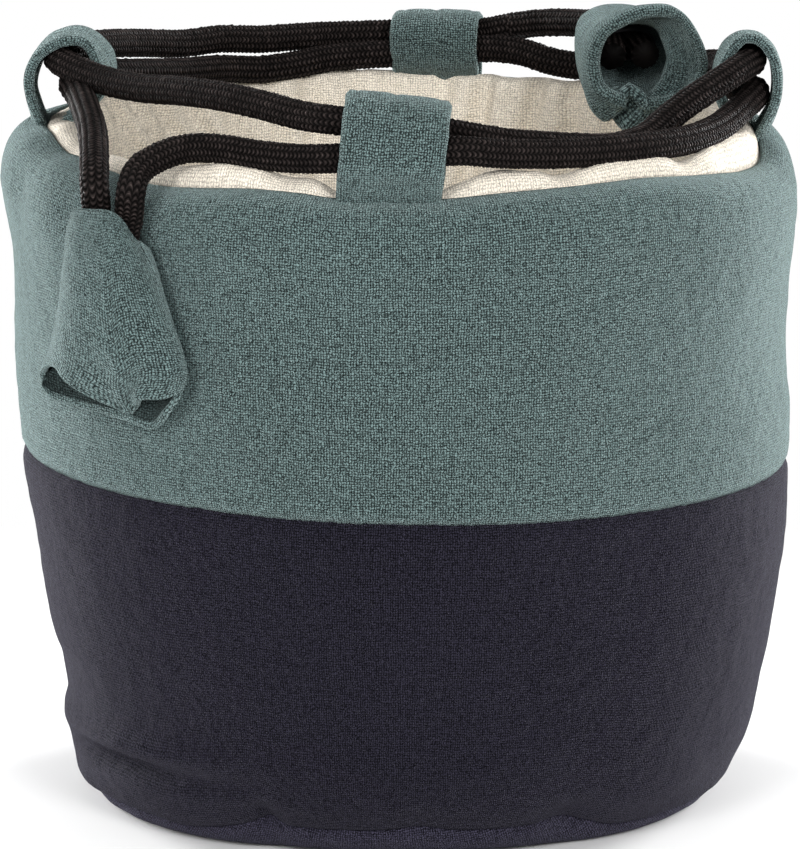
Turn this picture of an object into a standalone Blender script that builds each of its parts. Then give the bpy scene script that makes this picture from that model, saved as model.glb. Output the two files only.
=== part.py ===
"""A padded round drawstring pouch for a tea set, standing open, with its drawcords and cord covers.

Lengths are in metres, +Z is up, the front is towards -Y, and the origin is the middle of the
underside. The bag body is turned about Z. Each drawcord passes all four loops at the rim, and
both its ends go into one cloth cover.
"""

import math

import bmesh
import bpy
from mathutils import Vector

MM = 0.001

# Body
BODY_RADIUS = 67.0 * MM  # the widest place, under the rolled rim
BAG_HEIGHT = 113.5 * MM  # the floor to the top of the rim
WALL_TAPER = 13.3 * MM  # how much narrower the wall is at its foot
WALL_THICKNESS = 12.0 * MM  # outer cloth, wadding and lining, halfway up
RIM_ROLL = 7.4 * MM  # how far the rolled rim turns in, to its seam
BAND_SEAM_HEIGHT = 58.8 * MM  # where the two bands of outer cloth meet
SEAM_PINCH = 0.5 * MM  # how far a seam draws the cloth in
SEAM_PINCH_SPAN = 2.5 * MM
CLOTH = 1.2 * MM  # outer cloth
LINING = 1.0 * MM
CLEARANCE = 0.3 * MM  # between pieces that lie on each other

# Base
BASE_PANEL_EDGE_RISE = 4.0 * MM
BASE_PADDING = 6.3 * MM
BASE_PADDING_CROWN = 0.8 * MM

# Cord loops at the rim
STRAP_WIDTH = 16.8 * MM
STRAP = 1.3 * MM  # doubled cloth
STRAP_FOOT = 3.6 * MM  # how deep its ends are sewn in
STRAP_SLACK = 0.35 * MM  # the least room round the cords
WIDE_STRAP_SLACK = 1.4 * MM

# Drawcords
CORD_RADIUS = 2.4 * MM
CORD_SPACING = 13.0 * MM  # between the points of its solid

# Cord covers
COVER_WALL = 1.3 * MM
NECK_ROOM = 0.7 * MM  # between the cord ends and the cover's neck
HANGING_COVER_LENGTH = 30.2 * MM
HANGING_NECK_DROP = 3.8 * MM  # below the top of the rim
HANGING_FLARE_WIDTH = 7.85 * MM  # how much wider the mouth is than the neck, on each side
HANGING_FLARE_DEPTH = 2.8 * MM
LYING_COVER_LENGTH = 25.4 * MM
LYING_FLARE_WIDTH = 4.15 * MM
LYING_FLARE_DEPTH = 6.2 * MM
CORD_END_DEPTH = 12.0 * MM  # how far the cord ends reach into a cover
CORD_END_STANDOUT = 1.5 * MM  # and how far they stand out of its neck
CORD_END_STRAIGHT = 3.5 * MM  # straight run at each end of a piece of cord
CORD_END_PRESS = 0.15 * MM  # how far the two cord ends are pressed into each other, each
BINDING_DEPTH = 7.5 * MM
BINDING_LENGTH = 2.5 * MM
BINDING = 0.7 * MM

# Sizes that follow from those above
RIM_SEAM_RADIUS = BODY_RADIUS - RIM_ROLL  # where the outer cloth meets the lining
WALL_FOOT_RADIUS = BODY_RADIUS - WALL_TAPER
WALL_FOOT_HEIGHT = BASE_PANEL_EDGE_RISE + CLEARANCE
BASE_FLAT_RADIUS = WALL_FOOT_RADIUS - 3 * CLOTH - 2 * CLEARANCE
FLOOR_HEIGHT = CLOTH + BASE_PADDING + LINING + 2 * CLEARANCE
CORD_END_OFFSET = CORD_RADIUS - CORD_END_PRESS  # each cord end's axis from the cover's
NECK_HALF_DEPTH = CORD_RADIUS + NECK_ROOM + COVER_WALL
NECK_HALF_WIDTH = NECK_HALF_DEPTH + CORD_END_OFFSET

HANGING_NECK_ANGLE = 229.4  # degrees round the rim from +X
HANGING_MOUTH_ANGLE = 230.1
LYING_COVER_WAY = (0.236, -0.964, -0.126)  # from its neck to its mouth

SEGMENTS = 40
COVER_SEGMENTS = 24
CURVE_STEPS = 2  # points of a smooth curve for each one chosen

# Up the outer wall, from base seam to rim seam: (share of WALL_TAPER in from BODY_RADIUS,
# share of the height from the wall's foot to the rim)
OUTER_WALL_SHARES = [
    (1.000, 0.000),
    (0.776, 0.034),
    (0.589, 0.105),
    (0.479, 0.204),
    (0.332, 0.294),
    (0.232, 0.392),
    (0.156, 0.509),
    (0.121, 0.673),
    (0.081, 0.811),
    (0.000, 0.913),
    (0.076, 0.960),
    (0.252, 0.988),
]
# Down the face of the lining, from rim seam to base: (share of WALL_THICKNESS and share of
# WALL_TAPER in from BODY_RADIUS, share of the height from the lining's foot to the rim)
LINING_WALL_SHARES = [
    (0.800, 0.000, 0.989),
    (0.917, 0.000, 0.967),
    (0.983, 0.000, 0.918),
    (1.000, 0.000, 0.798),
    (1.000, 0.015, 0.651),
    (1.000, 0.060, 0.477),
    (1.000, 0.135, 0.351),
    (1.000, 0.248, 0.248),
    (1.000, 0.398, 0.152),
    (1.000, 0.496, 0.052),
    (1.000, 0.571, 0.000),
]
# Along a cover: (share of the way from neck to mouth, share of the flare)
COVER_SHARES = [
    (0.00, 0.00),
    (0.08, 0.07),
    (0.30, 0.30),
    (0.60, 0.64),
    (0.85, 0.92),
    (1.00, 1.00),
]

# Routes of the drawcords: (x and y as shares of RIM_SEAM_RADIUS, height above the rim as a
# share of the cord's diameter)
HANGING_CORD_RING_SHARES = [
    (-0.915, -0.193, 1.40), (-0.937, -0.075, 1.46), (-0.955, 0.050, 1.50), (-0.934, 0.159, 1.54),
    (-0.862, 0.262, 1.52), (-0.748, 0.416, 1.23), (-0.638, 0.586, 0.92), (-0.530, 0.738, 0.71),
    (-0.414, 0.819, 0.52), (-0.297, 0.876, 0.60), (-0.208, 0.913, 0.75), (-0.023, 0.943, 0.85),
    (0.112, 0.956, 0.88), (0.248, 0.936, 1.06), (0.356, 0.889, 1.04), (0.453, 0.826, 0.79),
    (0.560, 0.775, 0.69), (0.705, 0.711, 0.65), (0.826, 0.586, 0.72), (0.938, 0.411, 0.85),
    (0.983, 0.201, 1.10), (1.012, 0.059, 1.35), (1.015, -0.050, 1.42), (0.966, -0.168, 1.19),
    (0.889, -0.336, 0.85), (0.797, -0.508, 0.79), (0.680, -0.663, 0.90), (0.492, -0.822, 1.02),
    (0.294, -0.950, 1.27), (0.151, -1.017, 1.52), (-0.022, -1.022, 1.33), (-0.168, -0.990, 1.21),
    (-0.275, -0.931, 1.06), (-0.383, -0.864, 1.04), (-0.492, -0.814, 1.15),
]
HANGING_CORD_FRONT_TAIL_SHARES = [
    (-0.492, -0.814, 1.15), (-0.579, -0.810, 1.15), (-0.649, -0.839, 0.96), (-0.710, -0.883, 0.56),
]
HANGING_CORD_BACK_TAIL_SHARES = [
    (-0.915, -0.193, 1.40), (-0.903, -0.290, 1.55), (-0.886, -0.425, 1.52), (-0.860, -0.545, 1.35),
    (-0.841, -0.680, 1.02), (-0.832, -0.815, 0.52),
]
LYING_CORD_RING_SHARES = [
    (1.000, 0.461, 1.60), (1.017, 0.252, 2.10), (1.012, 0.084, 2.52), (1.000, -0.059, 2.60),
    (0.950, -0.176, 2.31), (0.866, -0.285, 1.90), (0.765, -0.378, 1.56), (0.648, -0.512, 1.19),
    (0.461, -0.721, 0.94), (0.277, -0.859, 1.42), (0.141, -0.930, 1.92), (-0.022, -0.953, 2.29),
    (-0.168, -0.943, 2.40), (-0.273, -0.864, 2.42), (-0.383, -0.763, 2.56), (-0.495, -0.646, 2.60),
    (-0.607, -0.512, 2.50), (-0.725, -0.361, 2.29), (-0.842, -0.210, 2.29), (-0.926, -0.084, 2.50),
    (-0.965, 0.050, 2.62), (-0.953, 0.201, 2.65), (-0.883, 0.352, 2.46), (-0.765, 0.508, 2.13),
    (-0.643, 0.663, 1.79), (-0.530, 0.768, 1.75), (-0.414, 0.847, 1.58), (-0.297, 0.926, 1.52),
    (-0.208, 0.977, 1.48), (-0.023, 1.013, 1.52), (0.112, 1.022, 1.60), (0.248, 1.017, 1.62),
    (0.342, 0.977, 1.83),
]
LYING_CORD_BACK_TAIL_SHARES = [
    (0.342, 0.977, 1.83), (0.443, 0.906, 2.08),
]
LYING_CORD_SIDE_TAIL_SHARES = [
    (1.000, 0.461, 1.60), (0.950, 0.617, 1.19), (0.889, 0.760, 0.85), (0.846, 0.869, 0.98),
    (0.782, 0.949, 1.31), (0.701, 0.966, 1.77), (0.651, 0.909, 2.15),
]
LYING_NECK_SHARES = (0.621, 0.722, 2.21)

# (name, degrees round the rim from +X, room round the cords)
LOOP_PLACES = [
    ("loop_front", 268.75, STRAP_SLACK),
    ("loop_right", 356.8, WIDE_STRAP_SLACK),
    ("loop_back", 83.6, STRAP_SLACK),
    ("loop_left", 177.3, STRAP_SLACK),
]

COLOURS = {
    "upper_cloth": (0.115, 0.195, 0.195, 0.95),
    "lower_cloth": (0.022, 0.021, 0.034, 0.97),
    "lining_cloth": (0.76, 0.69, 0.56, 0.93),
    "padding": (0.86, 0.85, 0.81, 0.98),
    "cord": (0.017, 0.013, 0.012, 0.62),
    "thread": (0.012, 0.011, 0.014, 0.80),
}


def clear_scene():
    for thing in list(bpy.data.objects):
        bpy.data.objects.remove(thing, do_unlink=True)


def material(name):
    found = bpy.data.materials.get(name)
    if found:
        return found
    made = bpy.data.materials.new(name)
    made.use_nodes = True
    shader = made.node_tree.nodes["Principled BSDF"]
    red, green, blue, roughness = COLOURS[name]
    shader.inputs["Base Color"].default_value = (red, green, blue, 1.0)
    shader.inputs["Roughness"].default_value = roughness
    shader.inputs["Metallic"].default_value = 0.0
    made.diffuse_color = (red, green, blue, 1.0)
    return made


def place(name, mesh_maker, cloth):
    """Makes an object from a bmesh, with smooth shading and outward faces."""
    bmesh.ops.recalc_face_normals(mesh_maker, faces=mesh_maker.faces)
    mesh = bpy.data.meshes.new(name)
    mesh_maker.to_mesh(mesh)
    mesh_maker.free()
    mesh.shade_smooth()
    mesh.set_sharp_from_angle(angle=math.radians(50))
    mesh.materials.append(material(cloth))
    made = bpy.data.objects.new(name, mesh)
    bpy.context.collection.objects.link(made)
    return made


def smooth(points, steps):
    """Points of a Catmull-Rom curve through the given ones, with steps to each stretch."""
    knots = [Vector(p) for p in points]
    knots = [2 * knots[0] - knots[1]] + knots + [2 * knots[-1] - knots[-2]]
    found = []
    for a, b, c, d in zip(knots, knots[1:], knots[2:], knots[3:]):
        for i in range(steps):
            t = i / steps
            found.append(
                0.5 * (2 * b + (c - a) * t + (2 * a - 5 * b + 4 * c - d) * t**2
                       + (3 * b - a - 3 * c + d) * t**3)
            )
    return found + [knots[-2]]


def along(points, spacing):
    """Evenly spaced points of the smooth curve through the given ones."""
    fine = smooth(points, 16)
    lengths = [0.0]
    for a, b in zip(fine, fine[1:]):
        lengths.append(lengths[-1] + (b - a).length)
    count = max(2, round(lengths[-1] / spacing))
    found, k = [], 0
    for i in range(count + 1):
        target = lengths[-1] * i / count
        while k < len(fine) - 2 and lengths[k + 1] < target:
            k += 1
        t = (target - lengths[k]) / (lengths[k + 1] - lengths[k])
        found.append(fine[k].lerp(fine[k + 1], t))
    return found


def offset(profile, distance):
    """The profile moved sideways, to the left of the way it runs."""
    found = []
    for i, point in enumerate(profile):
        ahead = profile[min(i + 1, len(profile) - 1)] - profile[max(i - 1, 0)]
        found.append(point + Vector((-ahead.y, ahead.x)).normalized() * distance)
    return found


def turned(name, outline, cloth):
    """A ring turned about Z from a closed outline of (radius, height) points."""
    shape = bmesh.new()
    rings = []
    for i in range(SEGMENTS):
        angle = 2 * math.pi * i / SEGMENTS
        cos, sin = math.cos(angle), math.sin(angle)
        rings.append([shape.verts.new((r * cos, r * sin, z)) for r, z in outline])
    for near, far in zip(rings, rings[1:] + rings[:1]):
        for i in range(len(outline)):
            k = (i + 1) % len(outline)
            shape.faces.new((near[i], far[i], far[k], near[k]))
    return place(name, shape, cloth)


def disc(name, edge, cloth):
    """A closed disc turned about Z; its first and last edge points carry flat or crowned faces."""
    shape = bmesh.new()
    rings = []
    for r, z in edge:
        ring = []
        for i in range(SEGMENTS):
            angle = 2 * math.pi * i / SEGMENTS
            ring.append(shape.verts.new((r * math.cos(angle), r * math.sin(angle), z)))
        rings.append(ring)
    for low, high in zip(rings, rings[1:]):
        for i in range(SEGMENTS):
            k = (i + 1) % SEGMENTS
            shape.faces.new((low[i], low[k], high[k], high[i]))
    shape.faces.new(rings[0][::-1])
    shape.faces.new(rings[-1])
    return place(name, shape, cloth)


def pinched(points):
    """Draws the wall in a little at the seam between the two outer bands."""
    found = []
    for r, z in points:
        near = max(0.0, 1 - abs(z - BAND_SEAM_HEIGHT) / SEAM_PINCH_SPAN)
        found.append(Vector((r - SEAM_PINCH * near**2, z)))
    return found


def outer_wall():
    """(radius, height) up the outside, from the base seam to just short of the rim seam."""
    rise = BAG_HEIGHT - WALL_FOOT_HEIGHT
    chosen = [
        (BODY_RADIUS - WALL_TAPER * inwards, WALL_FOOT_HEIGHT + rise * up)
        for inwards, up in OUTER_WALL_SHARES
    ]
    chosen.append((RIM_SEAM_RADIUS + CLEARANCE / 2, BAG_HEIGHT))
    seam = [(BAND_SEAM_HEIGHT - CLEARANCE / 2), (BAND_SEAM_HEIGHT + CLEARANCE / 2)]
    fine = smooth([(r, z, 0) for r, z in chosen], CURVE_STEPS)
    points = [Vector((p.x, p.y)) for p in fine]
    low = [p for p in points if p.y < seam[0] - SEAM_PINCH_SPAN / 2]
    high = [p for p in points if p.y > seam[1] + SEAM_PINCH_SPAN / 2]
    middle = (low[-1] + high[0]) / 2
    low.append(Vector((middle.x, seam[0])))
    high.insert(0, Vector((middle.x, seam[1])))
    return pinched(low), pinched(high)


def lining_face():
    """(radius, height) down the face of the lining, from just inside the rim seam to the base."""
    foot = FLOOR_HEIGHT + CLEARANCE
    chosen = [(RIM_SEAM_RADIUS - CLEARANCE / 2, BAG_HEIGHT)]
    for thick, taper, up in LINING_WALL_SHARES:
        inwards = WALL_THICKNESS * thick + WALL_TAPER * taper
        chosen.append((BODY_RADIUS - inwards, foot + (BAG_HEIGHT - foot) * up))
    fine = smooth([(r, z, 0) for r, z in chosen], CURVE_STEPS)
    return [Vector((p.x, p.y)) for p in fine]


def loop_frame(angle):
    """Unit vectors outwards and along the rim at an angle, in degrees from +X."""
    turn = math.radians(angle)
    outwards = Vector((math.cos(turn), math.sin(turn), 0))
    return outwards, Vector((-math.sin(turn), math.cos(turn), 0))


def cut_loop_slots(body):
    """Cuts the slots in the rim seam that the loops' ends are sewn into."""
    for name, angle, _ in LOOP_PLACES:
        outwards, sideways = loop_frame(angle)
        half = STRAP + CLEARANCE * 1.5
        cutter = box_along(
            "slot_" + name,
            outwards * RIM_SEAM_RADIUS + Vector((0, 0, BAG_HEIGHT)),
            outwards * half,
            sideways * (STRAP_WIDTH / 2 + CLEARANCE),
            Vector((0, 0, STRAP_FOOT + CLEARANCE)),
        )
        cutter.hide_render = True
        cutter.display_type = "WIRE"
        cut = body.modifiers.new("slot_" + name, "BOOLEAN")
        cut.operation = "DIFFERENCE"
        cut.object = cutter


def box_along(name, middle, a, b, c):
    """A box given by its middle and three half edges."""
    found = bpy.data.objects.get(name)
    if found:
        return found
    shape = bmesh.new()
    corners = [
        shape.verts.new(middle + a * x + b * y + c * z)
        for x in (-1, 1) for y in (-1, 1) for z in (-1, 1)
    ]
    for face in ((0, 1, 3, 2), (4, 6, 7, 5), (0, 4, 5, 1), (2, 3, 7, 6), (0, 2, 6, 4), (1, 5, 7, 3)):
        shape.faces.new([corners[i] for i in face])
    return place(name, shape, "thread")


def beside_rim(knots, angle):
    """Where a cord runs inside a loop: (distance out from the rim seam, height) points."""
    outwards, sideways = loop_frame(angle)
    reach = STRAP_WIDTH / 2 + CORD_RADIUS
    found = []
    for a, b in zip(knots, knots[1:]):
        for i in range(8):
            p = a.lerp(b, i / 8)
            if p.dot(outwards) > 0 and abs(p.dot(sideways)) < reach:
                found.append((p.dot(outwards) - RIM_SEAM_RADIUS, p.z))
    return found


def hull(points):
    """The convex outline of points in a plane, turning left."""
    ordered = sorted(points)
    outline = []
    for way in (ordered, ordered[::-1]):
        start = len(outline)
        for p in way:
            while len(outline) >= start + 2:
                a, b = outline[-2], outline[-1]
                if (b[0] - a[0]) * (p[1] - a[1]) > (b[1] - a[1]) * (p[0] - a[0]):
                    break
                outline.pop()
            outline.append(p)
        outline.pop()
    return outline


def loop(name, angle, slack):
    """A strap sewn into the rim seam by both ends, that goes round both cords."""
    radius = CORD_RADIUS + slack + STRAP / 2
    foot = (STRAP + CLEARANCE) / 2
    around = [(-foot, BAG_HEIGHT), (foot, BAG_HEIGHT)]
    for ring in rings():
        for out, high in beside_rim(ring_points(*ring), angle):
            for i in range(16):
                turn = 2 * math.pi * i / 16
                around.append((out + radius * math.cos(turn), high + radius * math.sin(turn)))
    outline = [Vector(p) for p in hull(around)]
    right, left = Vector((foot, BAG_HEIGHT)), Vector((-foot, BAG_HEIGHT))
    start = outline.index(min(outline, key=lambda p: (p - right).length))
    outline = outline[start:] + outline[:start]
    end = outline.index(min(outline, key=lambda p: (p - left).length))
    down = Vector((0, STRAP_FOOT))
    middle = [right - down] + outline[: end + 1] + [left - down]
    outwards, sideways = loop_frame(angle)
    shape = bmesh.new()
    rows = []
    for outer, inner in zip(offset(middle, -STRAP / 2), offset(middle, STRAP / 2)):
        row = []
        for point, side in ((outer, -1), (outer, 1), (inner, 1), (inner, -1)):
            place_at = outwards * (RIM_SEAM_RADIUS + point.x) + Vector((0, 0, point.y))
            row.append(shape.verts.new(place_at + sideways * (side * STRAP_WIDTH / 2)))
        rows.append(row)
    for near, far in zip(rows, rows[1:]):
        for i in range(4):
            k = (i + 1) % 4
            shape.faces.new((near[i], near[k], far[k], far[i]))
    shape.faces.new(rows[0])
    shape.faces.new(rows[-1][::-1])
    return place(name, shape, "upper_cloth")


def on_rim(places):
    """The points of a route that is given as shares."""
    return [
        Vector((x * RIM_SEAM_RADIUS, y * RIM_SEAM_RADIUS, BAG_HEIGHT + above * 2 * CORD_RADIUS))
        for x, y, above in places
    ]


def rings():
    """Each ring's route, with the next point of its cord past its start and past its end."""
    hanging = on_rim(HANGING_CORD_RING_SHARES)
    hanging_ends = on_rim([HANGING_CORD_BACK_TAIL_SHARES[1], HANGING_CORD_FRONT_TAIL_SHARES[1]])
    lying = on_rim(LYING_CORD_RING_SHARES)
    lying_ends = on_rim([LYING_CORD_SIDE_TAIL_SHARES[1], LYING_CORD_BACK_TAIL_SHARES[1]])
    return (hanging, *hanging_ends), (lying, *lying_ends)


def joint(end, inside, past):
    """The end of a piece of cord, and the point where its straight run starts."""
    way = (inside - past).normalized()
    end = end + way * (CLEARANCE / 2)
    return end, end + way * CORD_END_STRAIGHT


def ring_points(route, before, after):
    """Points of the solid of a cord's ring, from one tail to the other."""
    first, second = joint(route[0], route[1], before)
    last, last_but_one = joint(route[-1], route[-2], after)
    middle = [second] + route[1:-1] + [last_but_one]
    return [first] + along(middle, CORD_SPACING) + [last]


def tail_points(shares, before, cover_ends, side):
    """Points of the solid of a cord's tail, from its ring to the cover that holds its end."""
    route = on_rim(shares)
    first, second = joint(route[0], route[1], before)
    neck, _, way, across, _ = cover_frame(cover_ends)
    beside = across * (side * (CORD_RADIUS + CLEARANCE / 2))
    last = neck - way * (CORD_END_STANDOUT + CLEARANCE / 2) + beside
    bent = [second] + route[1:] + [last - way * CORD_END_STRAIGHT]
    return [first] + along(bent, CORD_SPACING / 2) + [last]


def cord(name, points):
    """A round cord through the given points."""
    curve = bpy.data.curves.new(name, "CURVE")
    curve.dimensions = "3D"
    curve.bevel_depth = CORD_RADIUS
    curve.bevel_resolution = 3
    curve.use_fill_caps = True
    line = curve.splines.new("POLY")
    line.points.add(len(points) - 1)
    for spot, point in zip(line.points, points):
        spot.co = (*point, 1.0)
    curve.materials.append(material("cord"))
    made = bpy.data.objects.new(name, curve)
    bpy.context.collection.objects.link(made)
    return made


def hanging_cover_ends():
    """The middle of the neck and of the mouth of the cover that hangs on the wall."""
    neck_out, _ = loop_frame(HANGING_NECK_ANGLE)
    mouth_out, _ = loop_frame(HANGING_MOUTH_ANGLE)
    high = BAG_HEIGHT - HANGING_NECK_DROP
    neck = neck_out * (BODY_RADIUS + NECK_HALF_DEPTH + CLEARANCE) + Vector((0, 0, high))
    reach = BODY_RADIUS + NECK_HALF_DEPTH + HANGING_FLARE_DEPTH - CLEARANCE
    return neck, mouth_out * reach + Vector((0, 0, high - HANGING_COVER_LENGTH))


def lying_cover_ends():
    """The same for the cover that lies in the mouth of the bag."""
    neck = on_rim([LYING_NECK_SHARES])[0]
    return neck, neck + Vector(LYING_COVER_WAY).normalized() * LYING_COVER_LENGTH


def cover_frame(ends):
    """(neck, mouth, unit vector to the mouth, level unit vector across, the third one)"""
    neck, mouth = ends
    way = (mouth - neck).normalized()
    if abs(way.z) > 0.7:
        outwards = Vector((neck.x, neck.y, 0)).normalized()
        across = Vector((-outwards.y, outwards.x, 0))
    else:
        across = Vector((way.y, -way.x, 0)).normalized()
    across = (across - way * across.dot(way)).normalized()
    return neck, mouth, way, across, way.cross(across)


def cover(name, ends, flare_width, flare_depth):
    """An open cloth cone round the cord ends: down its outside, and back up its inside."""
    neck, mouth, way, across, up = cover_frame(ends)
    long = (mouth - neck).length
    shape = bmesh.new()
    rings = []
    for wall, shares in ((0.0, COVER_SHARES), (COVER_WALL, COVER_SHARES[::-1])):
        for share, widening in shares:
            a = NECK_HALF_WIDTH + flare_width * widening - wall
            b = NECK_HALF_DEPTH + flare_depth * widening - wall
            middle = neck + way * (long * share)
            ring = []
            for i in range(COVER_SEGMENTS):
                turn = 2 * math.pi * i / COVER_SEGMENTS
                ring.append(
                    shape.verts.new(middle + across * (a * math.cos(turn)) + up * (b * math.sin(turn)))
                )
            rings.append(ring)
    for near, far in zip(rings, rings[1:] + rings[:1]):
        for i in range(COVER_SEGMENTS):
            k = (i + 1) % COVER_SEGMENTS
            shape.faces.new((near[i], near[k], far[k], far[i]))
    return place(name, shape, "upper_cloth")


def rod_pair(name, ends, start, finish, radius, cloth):
    """The outline round two cord ends side by side, drawn out along a cover's axis."""
    neck, _, way, across, up = cover_frame(ends)
    shape = bmesh.new()
    outline = [
        across * (side * CORD_END_OFFSET + radius * math.cos(turn)) + up * (radius * math.sin(turn))
        for side, first in ((1, -90), (-1, 90))
        for turn in (math.radians(first + 180 * i / 8) for i in range(9))
    ]
    rings = [
        [shape.verts.new(neck + way * depth + p) for p in outline] for depth in (start, finish)
    ]
    for i in range(len(outline)):
        k = (i + 1) % len(outline)
        shape.faces.new((rings[0][i], rings[0][k], rings[1][k], rings[1][i]))
    shape.faces.new(rings[0][::-1])
    shape.faces.new(rings[1])
    return place(name, shape, cloth)


def cord_ends(name, ends):
    """The two ends of one drawcord, pressed together where they are sewn into the cover."""
    neck, _, way, across, up = cover_frame(ends)
    halves = []
    for side in (1, -1):
        shape = bmesh.new()
        rings = []
        for depth in (CLEARANCE / 2 - CORD_END_STANDOUT, CORD_END_DEPTH):
            middle = neck + way * depth + across * (side * CORD_END_OFFSET)
            ring = []
            for i in range(12):
                turn = 2 * math.pi * (i + 0.5) / 12
                ring.append(
                    shape.verts.new(
                        middle + (across * math.cos(turn) + up * math.sin(turn)) * CORD_RADIUS
                    )
                )
            rings.append(ring)
        for i in range(12):
            k = (i + 1) % 12
            shape.faces.new((rings[0][i], rings[0][k], rings[1][k], rings[1][i]))
        shape.faces.new(rings[0][::-1])
        shape.faces.new(rings[1])
        halves.append(place(name if side == 1 else name + "_second", shape, "cord"))
    whole, second = halves
    second.hide_render = True
    second.display_type = "WIRE"
    join = whole.modifiers.new("join_ends", "BOOLEAN")
    join.operation = "UNION"
    join.object = second
    return whole


def binding(name, ends):
    """The thread wound round the cord ends inside the cover."""
    inside = CORD_RADIUS + CLEARANCE
    band = rod_pair(
        name, ends, BINDING_DEPTH, BINDING_DEPTH + BINDING_LENGTH, inside + BINDING, "thread"
    )
    hole = rod_pair(
        name + "_hole", ends, BINDING_DEPTH - BINDING_LENGTH, BINDING_DEPTH + 2 * BINDING_LENGTH,
        inside, "thread",
    )
    hole.hide_render = True
    hole.display_type = "WIRE"
    cut = band.modifiers.new("hollow", "BOOLEAN")
    cut.operation = "DIFFERENCE"
    cut.object = hole
    return band


def body():
    low, high = outer_wall()
    face = lining_face()
    turned("outer_lower_band", low + offset(low, CLOTH)[::-1], "lower_cloth")
    high_back = offset(high, CLOTH)[:-1] + [high[-1] - Vector((0, CLOTH))]
    upper = turned("outer_upper_band", high + high_back[::-1], "upper_cloth")
    face_back = [face[0] - Vector((0, LINING))] + offset(face, LINING)[1:]
    lining = turned("lining_wall", face + face_back[::-1], "lining_cloth")
    outside = offset(low + high, CLOTH + CLEARANCE)
    inside = offset(face, LINING + CLEARANCE)
    foot = Vector((face[-1].x, outside[1].y))
    padding = turned("wall_padding", outside[1:-1] + inside[1:] + [foot], "padding")
    for piece in (upper, lining, padding):
        cut_loop_slots(piece)


def base():
    inner_radius = lining_face()[-1].x - CLEARANCE
    edge = [
        (BASE_FLAT_RADIUS, 0.0),
        (BASE_FLAT_RADIUS + 2 * CLOTH, BASE_PANEL_EDGE_RISE / 2),
        (BASE_FLAT_RADIUS + 3 * CLOTH, BASE_PANEL_EDGE_RISE),
        (BASE_FLAT_RADIUS + 2 * CLOTH, BASE_PANEL_EDGE_RISE),
        (BASE_FLAT_RADIUS, CLOTH),
    ]
    disc("outer_base_panel", edge, "lower_cloth")
    low = CLOTH + CLEARANCE
    disc(
        "base_padding",
        [
            (inner_radius, low),
            (inner_radius, low + BASE_PADDING - BASE_PADDING_CROWN),
            (inner_radius - 2 * BASE_PADDING_CROWN, low + BASE_PADDING),
        ],
        "padding",
    )
    lining = [(inner_radius, FLOOR_HEIGHT - LINING), (inner_radius, FLOOR_HEIGHT)]
    disc("lining_base", lining, "lining_cloth")


def drawcords():
    hanging, lying = rings()
    cord("drawcord_hanging_ring", ring_points(*hanging))
    cord("drawcord_lying_ring", ring_points(*lying))
    over_wall, in_mouth = hanging_cover_ends(), lying_cover_ends()
    for name, shares, before, ends, side in (
        ("hanging_front", HANGING_CORD_FRONT_TAIL_SHARES, hanging[0][-2], over_wall, 1),
        ("hanging_back", HANGING_CORD_BACK_TAIL_SHARES, hanging[0][1], over_wall, -1),
        ("lying_back", LYING_CORD_BACK_TAIL_SHARES, lying[0][-2], in_mouth, 1),
        ("lying_side", LYING_CORD_SIDE_TAIL_SHARES, lying[0][1], in_mouth, -1),
    ):
        cord(f"drawcord_{name}_tail", tail_points(shares, before, ends, side))


def covers():
    for name, ends, flare_width, flare_depth in (
        ("hanging", hanging_cover_ends(), HANGING_FLARE_WIDTH, HANGING_FLARE_DEPTH),
        ("lying", lying_cover_ends(), LYING_FLARE_WIDTH, LYING_FLARE_DEPTH),
    ):
        cover(f"cord_cover_{name}", ends, flare_width, flare_depth)
        cord_ends(f"cord_ends_{name}", ends)
        binding(f"cord_binding_{name}", ends)


def main():
    clear_scene()
    body()
    base()
    for name, angle, slack in LOOP_PLACES:
        loop(name, angle, slack)
    drawcords()
    covers()


main()
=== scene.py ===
"""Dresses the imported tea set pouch: cloth, lining, wadding, loops, drawcords and cord covers.

Lengths are in metres. Tables of places say where they are in millimetres. Angles round the bag
are in degrees from +X, so the front, towards the camera, is at -90.
"""

import math

import bpy
import numpy as np
from bpy.props import FloatProperty, FloatVectorProperty, IntProperty, PointerProperty
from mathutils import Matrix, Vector, noise


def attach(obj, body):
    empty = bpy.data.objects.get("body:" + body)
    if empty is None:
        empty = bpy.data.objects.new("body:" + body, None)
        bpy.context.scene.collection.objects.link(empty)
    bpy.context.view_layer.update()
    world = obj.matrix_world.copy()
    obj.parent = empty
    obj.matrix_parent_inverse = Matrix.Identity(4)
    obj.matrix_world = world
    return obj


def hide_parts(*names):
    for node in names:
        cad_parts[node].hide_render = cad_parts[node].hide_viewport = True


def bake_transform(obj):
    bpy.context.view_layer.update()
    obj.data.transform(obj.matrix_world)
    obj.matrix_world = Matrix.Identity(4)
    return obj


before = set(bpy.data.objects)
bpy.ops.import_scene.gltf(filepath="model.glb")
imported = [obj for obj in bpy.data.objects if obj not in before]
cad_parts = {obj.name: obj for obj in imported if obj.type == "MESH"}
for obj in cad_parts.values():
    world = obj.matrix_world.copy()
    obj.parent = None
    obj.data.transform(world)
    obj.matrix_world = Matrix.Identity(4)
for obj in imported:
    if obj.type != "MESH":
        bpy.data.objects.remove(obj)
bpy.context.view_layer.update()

bl_info = {
    "name": "Tea set pouch",
    "version": (1, 0, 0),
    "blender": (4, 5, 0),
    "location": "View3D > Sidebar > Tea pouch",
    "description": "Cloth, lining, wadding, loops, cords and cord covers of a padded tea set pouch",
    "category": "Mesh",
}

MM = 0.001

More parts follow.
